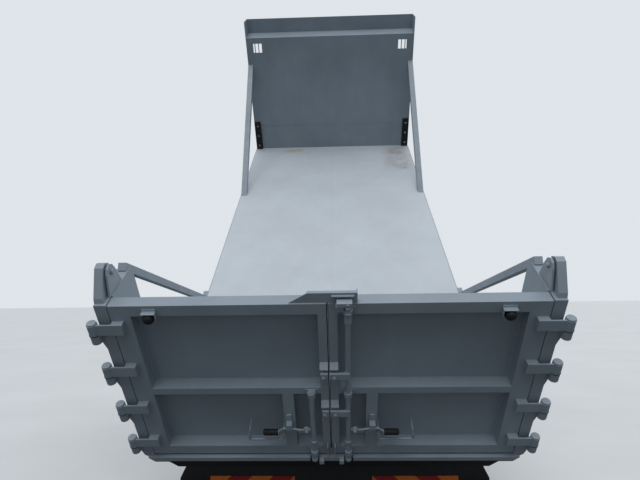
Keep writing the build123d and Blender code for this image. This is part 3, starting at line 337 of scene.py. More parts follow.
# What each finish is made of: clouds is how far its tone wanders, patch the size of one cloud, rough the lowest
# and highest roughness, grain and bump the skin's, edge the width of the lighter edges. Lengths are metres.
finishParts = ("colour", "clouds", "patch", "rough", "grain", "bump", "edge", "edgeTint", "dust", "dustShare",
    "streak", "metal")
finishRows = {
    "greyPaint": ((142, 155, 166), 0.1, 0.55, (0.34, 0.5), 0.004, 0.05,
        0.0025, (166, 180, 192), (126, 136, 142), 0.1, 0.5, 0),
    "floorPaint": ((194, 202, 209), 0.07, 0.8, (0.42, 0.6), 0.005, 0.05,
        0.0015, (190, 200, 210), (168, 176, 182), 0.12, 0.3, 0),
    "cabPaint": ((226, 229, 231), 0.015, 0.9, (0.3, 0.36), 0.003, 0.015,
        0.004, (232, 234, 236), (206, 204, 198), 0.05, 0.25, 0),
    "framePaint": ((30, 31, 33), 0.18, 0.35, (0.38, 0.62), 0.004, 0.2,
        0.0025, (66, 68, 70), (104, 98, 88), 0.3, 0.2, 0),
    "castIron": ((58, 60, 62), 0.22, 0.2, (0.55, 0.8), 0.0025, 0.6,
        0.003, (96, 97, 98), (110, 100, 86), 0.35, 0.1, 0),
    "wheelPaint": ((176, 180, 183), 0.08, 0.25, (0.32, 0.48), 0.003, 0.12,
        0.003, (206, 208, 210), (112, 104, 94), 0.3, 0.1, 0),
    "darkPlastic": ((42, 44, 46), 0.08, 0.3, (0.5, 0.68), 0.0012, 0.35,
        0.002, (66, 68, 70), (108, 104, 96), 0.14, 0.1, 0),
    "rubber": ((24, 25, 26), 0.15, 0.12, (0.62, 0.85), 0.0015, 0.3,
        0.002, (52, 52, 52), (92, 87, 79), 0.28, 0.05, 0),
    "blackPaint": ((15, 16, 17), 0.12, 0.3, (0.45, 0.65), 0.003, 0.15,
        0.002, (34, 35, 36), (48, 46, 43), 0.12, 0.2, 0),
    "buffer": ((17, 18, 19), 0.15, 0.05, (0.5, 0.7), 0.0008, 0.25,
        0.0015, (40, 41, 42), (46, 46, 45), 0.15, 0.05, 0),
    "reflector": ((228, 116, 32), 0.06, 0.05, (0.22, 0.34), 0.0012, 0.08,
        0.001, (214, 150, 96), (120, 92, 70), 0.14, 0.3, 0),
    "seatCloth": ((72, 77, 84), 0.08, 0.2, (0.85, 0.95), 0.0009, 0.5,
        0.002, (88, 93, 100), (112, 108, 100), 0.1, 0.05, 0),
    "galvanised": ((150, 154, 158), 0.16, 0.03, (0.3, 0.5), 0.002, 0.1,
        0.0015, (190, 192, 194), (120, 116, 108), 0.18, 0.1, 0.85),
    "hoistChrome": ((196, 198, 200), 0.05, 0.06, (0.08, 0.18), 0.001, 0.02,
        0.001, (210, 211, 212), (120, 112, 100), 0.06, 0.3, 1.0),
}
# The sills take the grey paint, with painted shade in black under the rear edge's fold
finishRows["sillPaint"] = finishRows["greyPaint"]
bedFinishes = ("greyPaint", "floorPaint", "sillPaint")     # their patterns follow the bed's own axes

# How a coat's parts come and go, each as its noise and the range over which it shows
coatMake = {"edgeMeet": (0.995, 0.93), "edgeBreak": ((38, 4), (0.38, 0.58)), "edgeShare": 0.6,
    "cloudDetail": 4, "cloudEnds": (0.3, 0.7), "runs": ((9, 3), (0.35, 0.75)), "runStretch": (1, 1, 0.12),
    "dust": ((5.5, 5, 0.65), (0.42, 0.72)), "dustRough": 0.3, "rough": ((14, 4), (0.3, 0.7)),
    "skinDetail": 2, "skinDeep": 0.0006}


# One coat of paint, rubber or metal: clouds of colour, thin runs down the face, patches of dust,
# lighter edges and a fine skin, all from noise on the object's own coordinates
def coat(name, extra=None):
    look = dict(zip(finishParts, finishRows[name]))
    wires = Wires(name)
    if name in bedFinishes:
        wires.where = wires.bedPlace()
    soft = wires.add("ShaderNodeBevel", {"Radius": look["edge"]}, samples=4).outputs[0]
    flat = wires.add("ShaderNodeNewGeometry").outputs["Normal"]
    meet = wires.add("ShaderNodeVectorMath", {0: soft, 1: flat}, operation="DOT_PRODUCT").outputs["Value"]
    edge = wires.calc("MULTIPLY", wires.span(meet, *coatMake["edgeMeet"]),
        wires.patches(*coatMake["edgeBreak"]), clamp=True)
    cloud = ((1 / look["patch"], coatMake["cloudDetail"]), coatMake["cloudEnds"])
    runShare = -look["clouds"] * look["streak"]
    tone = wires.calc("ADD", wires.patches(*cloud, 1 - look["clouds"], 1 + look["clouds"]),
        wires.patches(*coatMake["runs"], 0, runShare, coatMake["runStretch"]))
    plain = {0: card(*look["colour"])[:3], 3: tone}
    base = wires.add("ShaderNodeVectorMath", plain, operation="SCALE").outputs[0]
    dusty = wires.calc("MULTIPLY", wires.patches(*coatMake["dust"]), look["dustShare"], clamp=True)
    colour = wires.mix(dusty, base, card(*look["dust"]))
    colour = wires.mix(wires.calc("MULTIPLY", edge, coatMake["edgeShare"]), colour, card(*look["edgeTint"]))
    if extra is not None:
        colour = extra(wires, colour)
    rough = wires.calc("ADD", wires.patches(*coatMake["rough"], *look["rough"]),
        wires.calc("MULTIPLY", dusty, coatMake["dustRough"]), clamp=True)
    skin = wires.noise(1 / look["grain"], coatMake["skinDetail"])
    wires.give(wires.shader.inputs["Base Color"], colour)
    wires.give(wires.shader.inputs["Roughness"], rough)
    wires.give(wires.shader.inputs["Normal"], wires.bump(skin, look["bump"], coatMake["skinDeep"], soft))
    wires.shader.inputs["Metallic"].default_value = look["metal"]
    return wires.material


# Stripes on the reflector plates: 45 degrees, mirrored left to right, over a grid of tiny cells
stripeMake = {"outer": 0.8235, "top": 0.414, "pitch": 0.282, "red": (150, 20, 18), "cell": 0.0045,
    "border": (96, 40, 22), "borderWide": 0.12, "borderShare": 0.35}


def stripes(wires, colour):
    x, _, z = wires.parts()
    inward = wires.calc("SUBTRACT", stripeMake["outer"] + stripeMake["top"], wires.calc("ABSOLUTE", x))
    slant = wires.calc("SUBTRACT", inward, z)
    turn = wires.calc("FRACT", wires.calc("DIVIDE", slant, stripeMake["pitch"]))
    cellLinks = {"Vector": wires.where, "Scale": 1 / stripeMake["cell"]}
    cells = wires.add("ShaderNodeTexVoronoi", cellLinks, feature="DISTANCE_TO_EDGE").outputs[0]
    striped = wires.mix(wires.calc("GREATER_THAN", turn, 0.5), colour, card(*stripeMake["red"]))
    border = wires.span(cells, 0.0, stripeMake["borderWide"], stripeMake["borderShare"], 0.0)
    return wires.mix(border, striped, card(*stripeMake["border"]))


# The bed floor's wear: long scrapes along the bed, small scuffs, a rusty patch by the right wall
# and a yellowish one at the bulkhead's foot. Places are x across and y forward, in metres.
wearMake = {"scrapes": ((2.2, 6, 0.7), (0.6, 0.68)), "scrapeStretch": (22, 0.55, 1), "scrapeTint": (196, 206, 216),
    "scrapeShare": 0.42, "scuffs": ((7, 6, 0.75), (0.63, 0.72)), "scuffGrain": ((60, 3), (0.45, 0.62)),
    "scuffTint": (132, 144, 156), "scuffShare": 0.55, "ragged": ((5, 5, 0.6), (0.34, 0.62)), "spots": (
        {"place": (0.7, 0.98, 3.9, 4.66), "tint": (118, 92, 74), "share": 0.45, "soft": 0.07},
        {"place": (-0.65, -0.39, 4.56, 4.66), "tint": (176, 164, 104), "share": 0.8, "soft": 0.03})}


def wornFloor(wires, colour):
    x, y, _ = wires.parts()
    scrape = wires.patches(*wearMake["scrapes"], stretch=wearMake["scrapeStretch"])
    scuff = wires.calc("MULTIPLY", wires.patches(*wearMake["scuffs"]), wires.patches(*wearMake["scuffGrain"]))
    ragged = wires.patches(*wearMake["ragged"])
    for word, worn in (("scrape", scrape), ("scuff", scuff)):
        share = wires.calc("MULTIPLY", worn, wearMake[word + "Share"])
        colour = wires.mix(share, colour, card(*wearMake[word + "Tint"]))
    for spot in wearMake["spots"]:
        x0, x1, y0, y1 = spot["place"]
        inside = wires.calc("MULTIPLY", wires.between(x, x0, x1, spot["soft"]),
            wires.between(y, y0, y1, spot["soft"]))
        stain = wires.calc("MULTIPLY", wires.calc("MULTIPLY", inside, ragged), spot["share"])
        colour = wires.mix(stain, colour, card(*spot["tint"]))
    return colour


# The sills are grey along the top and painted black underneath, below the rear edge's fold: painted shade standing
# for the shadow under the sill
sillShadeFold = {"black": -0.05, "grey": -0.046}


def paintedShadeBelow(wires, colour):
    _, _, up = wires.parts()
    shadeShare = wires.span(up, sillShadeFold["black"], sillShadeFold["grey"], 1.0, 0.0)
    return wires.mix(shadeShare, colour, card(*finishRows["blackPaint"][0]))


extras = {"reflector": stripes, "floorPaint": wornFloor, "sillPaint": paintedShadeBelow}
coats = {name: coat(name, extras.get(name)) for name in finishRows}


# Clear glass and lamp lenses let light through; the lenses carry moulded ribs as a wave along x
clearMake = {"grime": ((7, 5, 0.7), (0.45, 0.75)), "grimeTint": (168, 164, 156), "rough": ((11, 4), (0.3, 0.7)),
    "bend": 1.46, "ribStrength": 0.5, "ribDeep": 0.001}


def clear(name, colour, through, rough, ribs=0.0, dust=0.05, metal=0.0):
    wires = Wires(name)
    grime = wires.patches(*clearMake["grime"], 0.0, dust)
    tinted = wires.mix(grime, card(*colour), card(*clearMake["grimeTint"]))
    wires.give(wires.shader.inputs["Base Color"], tinted)
    wires.give(wires.shader.inputs["Roughness"], wires.patches(*clearMake["rough"], rough, rough + dust))
    wires.shader.inputs["Transmission Weight"].default_value = through
    wires.shader.inputs["IOR"].default_value = clearMake["bend"]
    wires.shader.inputs["Metallic"].default_value = metal
    if ribs:
        ribLinks = {"Vector": wires.where, "Scale": 1 / ribs}
        wave = wires.add("ShaderNodeTexWave", ribLinks, bands_direction="X").outputs["Fac"]
        wires.give(wires.shader.inputs["Normal"], wires.bump(wave, clearMake["ribStrength"], clearMake["ribDeep"]))
    coats[name] = wires.material


clear("glass", (236, 244, 242), 1.0, 0.01)
clear("clearLens", (240, 242, 243), 0.92, 0.04, 0.05)
clear("redLens", (176, 20, 16), 0.35, 0.1, 0.03, 0.12)
clear("amberLens", (232, 124, 22), 0.35, 0.1, 0.03, 0.12)
clear("mirrorGlass", (206, 210, 212), 0.0, 0.02, metal=1.0)
print("stage: finishes mixed")

# What the CAD nodes are finished in; the rest are frame paint
nodeFinishes = {
    "greyPaint": "bed_bearers bulkhead visor stays corner_posts door_hinges right_rear_door left_rear_door "
    "right_lock_gear left_lock_gear",
    "floorPaint": "bed_floor", "sillPaint": "bed_sills", "blackPaint": "rear_bumper mudguards",
    "cabPaint": "cab_roof cab_back cab_front cab_sides right_cab_door left_cab_door",
    "castIron": "engine front_axle rear_axle right_knuckle left_knuckle drive_line",
    "darkPlastic": "steering_wheel dashboard mirrors cab_floor cab_grille",
    "galvanised": "exhaust side_guards", "hoistChrome": "hoist_rod", "reflector": "reflector_plates",
    "glass": "cab_glass right_door_glass left_door_glass"}
nodeCoats = {}
for name in nodes:
    nodeCoats[name] = "rubber" if "tyre" in name else "wheelPaint" if "wheel" in name else "framePaint"
for finish, names in nodeFinishes.items():
    nodeCoats.update(dict.fromkeys(names.split(), finish))
for name, finish in nodeCoats.items():
    nodes[name].data.materials.clear()
    nodes[name].data.materials.append(coats[finish])
print("stage: nodes finished")

# Tyres: the tread's columns follow zigzag grooves, radius = crown - groove depth, and shoulder blocks
# are cut where the pitch's phase is low. Sidewalls bulge from the bead to the shoulder.
tyreMake = {"radius": 0.4025, "pitches": 54, "rowsPerPitch": 6, "grooves": (-0.056, -0.0195, 0.0195, 0.056),
    "grooveHalf": 0.0042, "grooveLip": 0.0012, "grooveDepth": 0.0115, "zigzag": 0.0032, "notch": 0.0075,
    "notchRows": 2, "notchShares": (0.35, 1, 1, 1, 0.9, 0), "crown": 0.0035, "tread": 0.089,
    "side": ((0.084, 0.222), (0.0985, 0.229), (0.1035, 0.238), (0.105, 0.243), (0.1095, 0.252), (0.1125, 0.275),
        (0.113, 0.3), (0.1122, 0.322), (0.1098, 0.344), (0.1098, 0.347), (0.1085, 0.349), (0.1065, 0.362)),
    "shoulder": ((0.104, 0.374), (0.0985, 0.389), (0.092, 0.396), (0.083, 0.3985), (0.072, 0.3998))}


def tyreShape(centreX, axleY):
    t = tyreMake
    step = np.arange(t["pitches"] * t["rowsPerPitch"])
    angle = step * 2 * math.pi / len(step)
    phase = step / t["rowsPerPitch"]
    wave = 4 * np.abs(phase - np.floor(phase + 0.5)) - 1
    wall = np.array(t["side"] + t["shoulder"])
    inner, outer = t["grooveHalf"], t["grooveHalf"] + t["grooveLip"]
    middleX = (np.array(t["grooves"])[:, None] + (-outer, -inner, inner, outer)).ravel()
    deep = np.tile([0, 1, 1, 0], len(t["grooves"])) * t["grooveDepth"]
    crownR = t["radius"] - t["crown"] * (middleX / t["tread"]) ** 2 - deep
    x = np.concatenate([-wall[:, 0], middleX, wall[::-1, 0]])
    r = np.concatenate([wall[:, 1], crownR, wall[::-1, 1]])
    zig = np.zeros(len(x))
    zig[len(wall):-len(wall)] = np.repeat([-1, 1, -1, 1], 4) * t["zigzag"]
    uncut, shares = np.zeros(len(t["side"]) - 1), np.array(t["notchShares"])
    cut = np.concatenate([uncut, shares, 0 * middleX, shares[::-1], uncut]) * t["notch"]
    low = step % t["rowsPerPitch"] < t["notchRows"]
    opposite = (step + t["rowsPerPitch"] // 2) % t["rowsPerPitch"] < t["notchRows"]
    radius = r - np.where(x < 0, low[:, None], opposite[:, None]) * cut
    grid = np.stack([centreX + x + zig * wave[:, None], axleY + radius * np.cos(angle)[:, None],
            t["radius"] + radius * np.sin(angle)[:, None]], -1)
    return loopShell(np.concatenate([grid, grid[:1]]), lids=False)


wheelSets = [("right_front_wheel", "right_front_tyre", (0.88,), wheelbase),
    ("left_front_wheel", "left_front_tyre", (-0.88,), wheelbase),
    ("right_rear_wheels", "right_rear_tyres", (0.7, 0.962), 0.0),
    ("left_rear_wheels", "left_rear_tyres", (-0.7, -0.962), 0.0)]
for body, cadNode, places, axleY in wheelSets:
    treads = newPiece(cadNode + "_treaded", joined(*[tyreShape(x, axleY) for x in places]), body, "rubber", sharp=30)
    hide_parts(cadNode)
print("stage: tyres made")

# Wheel nuts on a circle, each six-sided with a washer and the end of its stud; a cap or flange on the hub
# and a valve. Faces are how far out each stands.
nutMake = {"circle": 0.13, "count": 8, "turn": 0.2, "frontFace": 0.94, "rearFace": 0.849, "capFace": 0.966,
    "flangeFace": 0.96, "boltFace": 0.969, "boltCircle": 0.085, "valveOut": 0.05, "valveUp": 0.207}
nutShape = joined(turned([(20.5, 0), (20.5, 3.5), (16.5, 4.5)], 16),
    turned([(16.5, 3), (16.5, 20), (14, 23.5), (9.5, 24)], 6),
    turned([(9.5, 20), (9.5, 33), (7.5, 35)], 12))
hubCap = turned([(64, 0), (64, 4), (58.5, 7), (54, 7.2), (52, 10.5), (38, 15), (18, 16.5), (6, 16.8)], 40)
rearFlange = turned([(106, 0), (106, 6), (103, 9), (64, 9.5), (60, 16), (48, 19), (12, 20)], 40)
flangeBolt = turned([(8.5, 0), (8.5, 7), (6.5, 8.5)], 6)
valve = turned([(4.5, 0), (4.5, 16), (3.5, 17), (3.5, 34), (4.2, 35), (4.2, 43), (3, 45)], 12)


# Places on a circle round an axle: (face, axle + r cos a, height + r sin a)
def wheelCircle(face, axleY, radius):
    turn = np.arange(nutMake["count"]) * 2 * math.pi / nutMake["count"] + nutMake["turn"]
    up = tyreMake["radius"] + radius * np.sin(turn)
    return np.stack([np.full_like(turn, face), axleY + radius * np.cos(turn), up], -1)


for body, cadNode, places, axleY in wheelSets:
    side = 1 if places[0] > 0 else -1
    axes = facing((side, 0, 0))
    nutFace = nutMake["frontFace"] if len(places) == 1 else nutMake["rearFace"]
    fittings = [copies(nutShape, wheelCircle(side * nutFace, axleY, nutMake["circle"]), axes)]
    if len(places) == 1:
        fittings.append(copies(hubCap, [(side * nutMake["capFace"], axleY, tyreMake["radius"])], axes))
    else:
        fittings.append(copies(rearFlange, [(side * nutMake["flangeFace"], axleY, tyreMake["radius"])], axes))
        bolts = wheelCircle(side * nutMake["boltFace"], axleY, nutMake["boltCircle"])
        fittings.append(copies(flangeBolt, bolts, axes))
    valveAt = (places[-1] + side * nutMake["valveOut"], axleY, tyreMake["radius"] + nutMake["valveUp"])
    fittings.append(copies(valve, [valveAt], facing((side, 0, -0.35))))
    newPiece(cadNode + "_fittings", joined(*fittings), body, "galvanised", sharp=30)
print("stage: wheels fitted")

# Rubber buffers on the doors' top rails: a turned dome in a dished washer, and its bolted holder above.
# The dome's radius = full radius * cos(a)^power, its height rises with sin(a).
bufferMake = {"across": 0.838, "up": 1.033, "sunk": 0.004, "radius": 28, "foot": 10, "reach": 38, "power": 0.72,
    "plates": (((-0.037, -0.03, 0.03), (0.029, 0, 0.0355), 0.0022),
        ((-0.037, -0.024, -0.014), (-0.032, 0, 0.032), 0.002),
        ((-0.037, -0.005, 0.012), (0.029, 0, 0.046), 0.002)),
    "screws": ((-0.022, -0.005, 0.022), (0.018, -0.005, 0.022))}
domeTurn = np.linspace(0, math.pi / 2, 9)[:-1]
domeRise = bufferMake["foot"] + (bufferMake["reach"] - bufferMake["foot"]) * np.sin(domeTurn)
domeCurve = np.stack([bufferMake["radius"] * np.cos(domeTurn) ** bufferMake["power"], domeRise], -1)
dome = turned([(24, 0), *domeCurve, (4, bufferMake["reach"])], 40)
washer = turned([(31.5, 0), (31.5, 3), (30, 4.5), (24, 4.5)], 40)
screwHead = turned([(6.2, 0), (6.2, 4), (5, 5.2)], 6)
holder = joined(*[blockAt(*plate) for plate in bufferMake["plates"]])
for side, body in rearDoors:
    spot = np.array([side * bufferMake["across"], 0.0, bufferMake["up"]])
    newPiece("buffer_" + body, copies(dome, [spot - (0, bufferMake["sunk"], 0)], rearward), body, "buffer", onBed)
    held = joined(copies(washer, [spot], rearward), copies(onSide(side, holder), [spot]),
        copies(screwHead, spot + bufferMake["screws"], rearward))
    newPiece("buffer_holder_" + body, held, body, "greyPaint", onBed)

# Ribbed black grips on the handles: radius = base + a small half wave at each rib
gripMake = {"start": 0.287, "length": 79, "forward": -0.03, "up": 0.226, "radius": 16.5, "ribs": 9, "ribHigh": 1.6,
    "ribPower": 0.6}
along = np.linspace(0, 1, gripMake["ribs"] * 6 + 1)
ribs = np.abs(np.sin(along * gripMake["ribs"] * math.pi)) ** gripMake["ribPower"]
ribbed = gripMake["radius"] + gripMake["ribHigh"] * ribs
gripShape = turned([(6, -1), *np.stack([ribbed, along * gripMake["length"]], -1), (12.5, 82.5), (4, 83.5)], 28)
# Thin six-sided bolt heads with washers on the cross arms; a swung door carries them close past the stays
armBolts = {"across": {1: 0.027, -1: -0.029}, "forward": -0.054, "ups": (0.386, 0.663)}
headShape = joined(turned([(12.5, 0), (12.5, 1)], 20), turned([(10.8, 0.8), (10.8, 2.6), (9, 3.4)], 6))
for side, body in rearDoors:
    gripAt = onBed([(side * gripMake["start"], gripMake["forward"], gripMake["up"])])
    newPiece("grip_" + body, copies(gripShape, gripAt, facing((side, 0, 0))), body, "buffer", np.asarray)
    heads = copies(headShape, [(armBolts["across"][side], armBolts["forward"], u) for u in armBolts["ups"]], rearward)
    newPiece("arm_bolts_" + body, heads, body, "greyPaint", onBed)

# A thicker sleeve on the foot of each handle's wire guard, an eye with its bolt on the lever, collars on the
# lock pipes and a turned pin at the top of the right one
lockMake = {"sleeve": 6.5, "sleeveBend": 0.012, "lever": (0.131, -0.03, 0.245), "pipe": (0.095, -0.024),
    "collarUps": {1: (0.14, 1.01), -1: (0.14,)}, "topPin": (0.095, -0.0335, 1.108),
    "guard": ((0.2582, -0.03, 0.214), (0.263, -0.03, 0.168), (0.45, -0.03, 0.168), (0.446, -0.03, 0.214))}
guardPath = cornered(lockMake["guard"], lockMake["sleeveBend"], 5, openEnds=True)
guardSleeve = carried(circle(lockMake["sleeve"], 12), guardPath, (0, -1, 0))
leverEye = joined(turned([(16.5, -8), (18.5, -6), (18.5, 6), (16.5, 8)], 24),
    turned([(10, 7.5), (10, 14), (8, 16)], 6), turned([(6, 15), (6, 20), (4.5, 21.5)], 12))
collar = turned([(15.2, -10), (17.8, -8), (17.8, 8), (15.2, 10)], 24)
topPin = turned([(10, -50), (15, -46), (15, -38), (9.5, -34), (9.5, -24), (13.5, -20), (14.5, -12), (13.5, -5),
        (9, -1), (9, 3), (13, 7), (14.5, 13), (11, 19), (5, 22)], 28)
for side, body in rearDoors:
    pipeX, pipeY = lockMake["pipe"]
    gear = joined(onSide(side, guardSleeve), copies(leverEye, [lockMake["lever"]] * np.array([side, 1, 1]), rearward),
        copies(collar, [(side * pipeX, pipeY, u) for u in lockMake["collarUps"][side]]))
    if side > 0:
        gear = joined(gear, copies(topPin, [lockMake["topPin"]]))
    newPiece("lock_fittings_" + body, gear, body, "greyPaint", onBed)

# Painted shade: a black ring at each hinge, in the joint between the strap's knuckle and the post's, standing for the
# shadow in that gap
hingeMake = {"across": 1.114, "forward": -0.02, "ups": (0.1055, 0.3845, 0.6675, 0.9455), "radius": 0.0256}
ringPath = np.pad(circle(hingeMake["radius"], 36), ((0, 0), (0, 1)))
hingeShadeRing = carried([(-0.9, -1.6), (1, -1.6), (1.4, 0), (1, 1.6), (-0.9, 1.6)], ringPath, (0, 0, 1), True)
rings = copies(hingeShadeRing, [(hingeMake["across"], hingeMake["forward"], u) for u in hingeMake["ups"]])
newPiece("hinge_shade_rings", bothSides(rings), "bed", "buffer", onBed)

# Painted shade: two black lips close the gap between the doors, one on each leaf, each a bar with a rounded nose,
# standing for the shadow in the gap
lipMake = {"nose": 0.0002, "noseDeep": 0.0012, "root": 0.0047, "forward": 0.0315, "half": 0.0025,
    "levels": np.linspace(0.006, 1.088, 24)}
noseTurn = np.linspace(-math.pi / 2, math.pi / 2, 9)
noseX = lipMake["nose"] + lipMake["noseDeep"] * (1 - np.cos(noseTurn))
lipSection = [(lipMake["root"], -lipMake["half"]), *np.stack([noseX, lipMake["half"] * np.sin(noseTurn)], -1),
    (lipMake["root"], lipMake["half"])]
gapShadeLip = raised(lipSection, lipMake["levels"], np.ones(24), lipMake["forward"])
onDoors("gap_shade_lip_", gapShadeLip, rearDoors, "buffer", onBed)

# Weld beads: a low ridge whose height follows the overlapping scales of a hand-laid run. In the doors they
# go round each panel, given as inner, outer, low and high; on the floor along its middle and its front edge.
beadMake = {"width": 0.0046, "height": 0.003, "scale": 0.0065, "sheet": 0.0648, "swell": 0.22, "drift": 0.08,
    "driftRate": 61, "section": np.array([(-1, -0.2), (-0.75, 0.55), (0, 1), (0.75, 0.55), (1, -0.2)]),
    "panels": ((0.0465, 0.929, 0.541, 1.034), (0.0465, 0.191, 0.068, 0.496), (0.251, 0.929, 0.068, 0.496)),
    "middle": ((0, 0.08, 0), (0, 4.7, 0), (0, 0, 1.0), 0.0055, 0.0016),
    "foot": ((-1.024, 4.705, 0), (1.024, 4.705, 0), (0, -0.7, 0.7), 0.006, 0.0035)}


def weldRun(start, end, normal, width=beadMake["width"], height=beadMake["height"]):
    start, end, normal = np.asarray(start, float), np.asarray(end, float), np.asarray(normal, float)
    length = np.linalg.norm(end - start)
    share = np.linspace(0, 1, max(int(length / beadMake["scale"]) * 3, 6))[:, None, None]
    scales = np.abs(np.sin(share * length / beadMake["scale"] * math.pi))
    swell = 1 + beadMake["swell"] * scales + beadMake["drift"] * np.sin(share * length * beadMake["driftRate"])
    side = np.cross((end - start) / length, normal)
    ridge = beadMake["section"]
    return loopShell(start + share * (end - start) + ridge[:, :1] * (width * swell) * side
        + ridge[:, 1:] * (height * swell) * normal)


runs = []
for x0, x1, u0, u1 in beadMake["panels"]:
    corners = frameAt(x0, x1, u0, u1, beadMake["sheet"])
    runs += [weldRun(corners[k], corners[(k + 1) % 4], (0, -1, 0)) for k in range(4)]
onDoors("welds_", joined(*runs), rearDoors, "greyPaint", onBed)

# Bulkhead: black ribbed strips at its foot with their bolts, and the stitched seam across it
stripMake = {"inner": 0.943, "outer": 1.028, "thick": 0.02, "ribs": 5, "ribShare": 0.28,
    "levels": (0.004, 0.01, 0.2, 0.372, 0.38),
    "shares": (0.9, 1, 1, 1, 0.9), "bolts": [(0.985, 4.688, u) for u in (0.055, 0.19, 0.325)]}
stripX = np.linspace(0, 1, stripMake["ribs"] * 8 + 1)
ribWave = np.sqrt(np.abs(np.sin(stripX * stripMake["ribs"] * math.pi)))
stripFront = stripMake["thick"] * (1 + stripMake["ribShare"] * (ribWave - 1))
stripWide = stripMake["inner"] + stripX * (stripMake["outer"] - stripMake["inner"])
stripSection = [*np.stack([stripWide, -stripFront], -1), (stripMake["outer"], -0.001), (stripMake["inner"], -0.001)]
strip = raised(stripSection, stripMake["levels"], stripMake["shares"], bedFrame["length"])
newPiece("bulkhead_strips", bothSides(strip), "bed", "rubber", onBed)
stripBolt = joined(turned([(13, 0), (13, 3), (11, 4)], 20), turned([(8, 3), (8, 9), (6, 11)], 6))
stripBolts = bothSides(copies(stripBolt, stripMake["bolts"], rearward))
newPiece("bulkhead_strip_bolts", stripBolts, "bed", "galvanised", onBed)
seamMake = {"across": (-0.92, 0.9, 0.04), "forward": 4.7075, "up": 0.333}
stitch = turned([(1.5, 0), (3.4, 3), (3.6, 14), (3.4, 25), (1.5, 28)], 8)
stitches = copies(stitch, [(x, seamMake["forward"], seamMake["up"]) for x in np.arange(*seamMake["across"])], outward)
newPiece("bulkhead_seam", stitches, "bed", "greyPaint", onBed)
newPiece("floor_welds", joined(weldRun(*beadMake["middle"]), weldRun(*beadMake["foot"])), "bed", "floorPaint", onBed)
print("stage: bed trimmed")

# Rear lamps: a dark housing with a raised rim, three crowned lenses side by side and two screws
rearLamp = {"box": ((0.85, -1.11, 0.29), (1.01, -1.09, 0.38), 0.006), "rim": (0.853, 1.007, 0.293, 0.377, -1.11),
    "bend": 0.008, "lensFace": -1.119, "lensUp": 0.335, "lensSize": (0.076, 0.022), "lensRound": 0.007,
    "lenses": (("clearLens", "clear", 0.856, 0.898), ("redLens", "red", 0.902, 0.954),
        ("amberLens", "amber", 0.958, 1.004)), "screws": ((0.9, -1.128, 0.302), (0.956, -1.128, 0.368))}
rimSection, rimCorners = [(-3, -2), (-3, 10), (1, 12), (3, 10), (3, -2)], frameAt(*rearLamp["rim"])
rim = rimRound(rimSection, rimCorners, rearLamp["bend"], (0, -1, 0))
housing = joined(blockAt(*rearLamp["box"]), rim)
lampHousing = newPiece("rear_lamp_housings", bothSides(housing), "chassis", "darkPlastic")
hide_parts("lamps")
for finish, word, x0, x1 in rearLamp["lenses"]:
    middle = ((x0 + x1) / 2, rearLamp["lensFace"], rearLamp["lensUp"])
    lens = copies(roundBlock((x1 - x0, *rearLamp["lensSize"]), rearLamp["lensRound"], 4), [middle], rearward)
    newPiece("rear_lamp_" + word, bothSides(lens), "chassis", finish)
newPiece("rear_lamp_screws", bothSides(copies(screwHead, rearLamp["screws"], rearward)), "chassis", "galvanised")

# Front lamps: a dark box, two dished bowls with their bulbs, a clear cover with a rim
frontLamp = {"box": ((0.622, 5.192, 0.402), (0.898, 5.204, 0.538)), "rim": (0.628, 0.892, 0.408, 0.532, 5.25),
    "bend": 0.018, "bowls": ((0.694, 5.24, 0.47), (0.826, 5.24, 0.47)), "cover": (0.262, 0.122, 0.01),
    "coverAt": (0.76, 5.254, 0.47)}
bowl = turned([(10, -34), (22, -32), (34, -25), (44, -13), (50, -1), (52, 1), (54, -1), (50, -20), (36, -36),
        (12, -40)], 40)
bulb = turned([(5, -33), (6, -30), (6, -12), (5, -8), (2, -6)], 16)
rimSection, rimCorners = [(-6, -50), (-6, 8), (-2, 10), (2, 8), (2, -50)], frameAt(*frontLamp["rim"])
rim = rimRound(rimSection, rimCorners, frontLamp["bend"], (0, 1, 0))
lampBox = joined(blockAt(*frontLamp["box"]), rim)
newPiece("front_lamp_boxes", bothSides(lampBox), "chassis", "darkPlastic")
bowls, bulbs = [bothSides(copies(shape, frontLamp["bowls"], forward)) for shape in (bowl, bulb)]
newPiece("front_lamp_bowls", bowls, "chassis", "mirrorGlass", slot="lamp_lens")
newPiece("front_lamp_bulbs", bulbs, "chassis", "clearLens")
cover = copies(roundBlock(frontLamp["cover"], 0.004, 4), [frontLamp["coverAt"]], forward)
newPiece("front_lamp_covers", bothSides(cover), "chassis", "clearLens")

# The cab's front: corner indicators, the dark joint round its panel, and a blank plate in its holder
frontMake = {"indicator": (0.096, 0.062, 0.022), "indicatorAt": (0.95, 5.168, 1.08), "indicatorRound": 0.007,
    "panel": (-0.84, 0.84, 0.925, 1.245, 5.16), "panelBend": 0.035,
    "plateEdge": (-0.16, 0.16, 0.38, 0.535, 5.255), "plateBend": 0.012,
    "plate": ((-0.165, 5.2532, 0.375), (0.165, 5.2556, 0.54), 0.001),
    "plateHolder": ((-0.172, 5.249, 0.372), (0.172, 5.2535, 0.543), 0.002),
    "plateScrews": ((-0.105, 5.256, 0.52), (0.105, 5.256, 0.52))}
indicatorShape = roundBlock(frontMake["indicator"], frontMake["indicatorRound"], 4)
indicator = copies(indicatorShape, [frontMake["indicatorAt"]], forward)
newPiece("front_indicators", bothSides(indicator), "cab", "amberLens")
panelSection = [(-2.6, -1), (-1.8, 0.6), (1.8, 0.6), (2.6, -1)]
panelJoint = rimRound(panelSection, frameAt(*frontMake["panel"]), frontMake["panelBend"], (0, 1, 0))
newPiece("front_panel_joint", panelJoint, "cab", "rubber")
plateHolder = joined(blockAt(*frontMake["plateHolder"]), copies(screwHead, frontMake["plateScrews"], forward))
newPiece("front_plate_holder", plateHolder, "chassis", "darkPlastic")
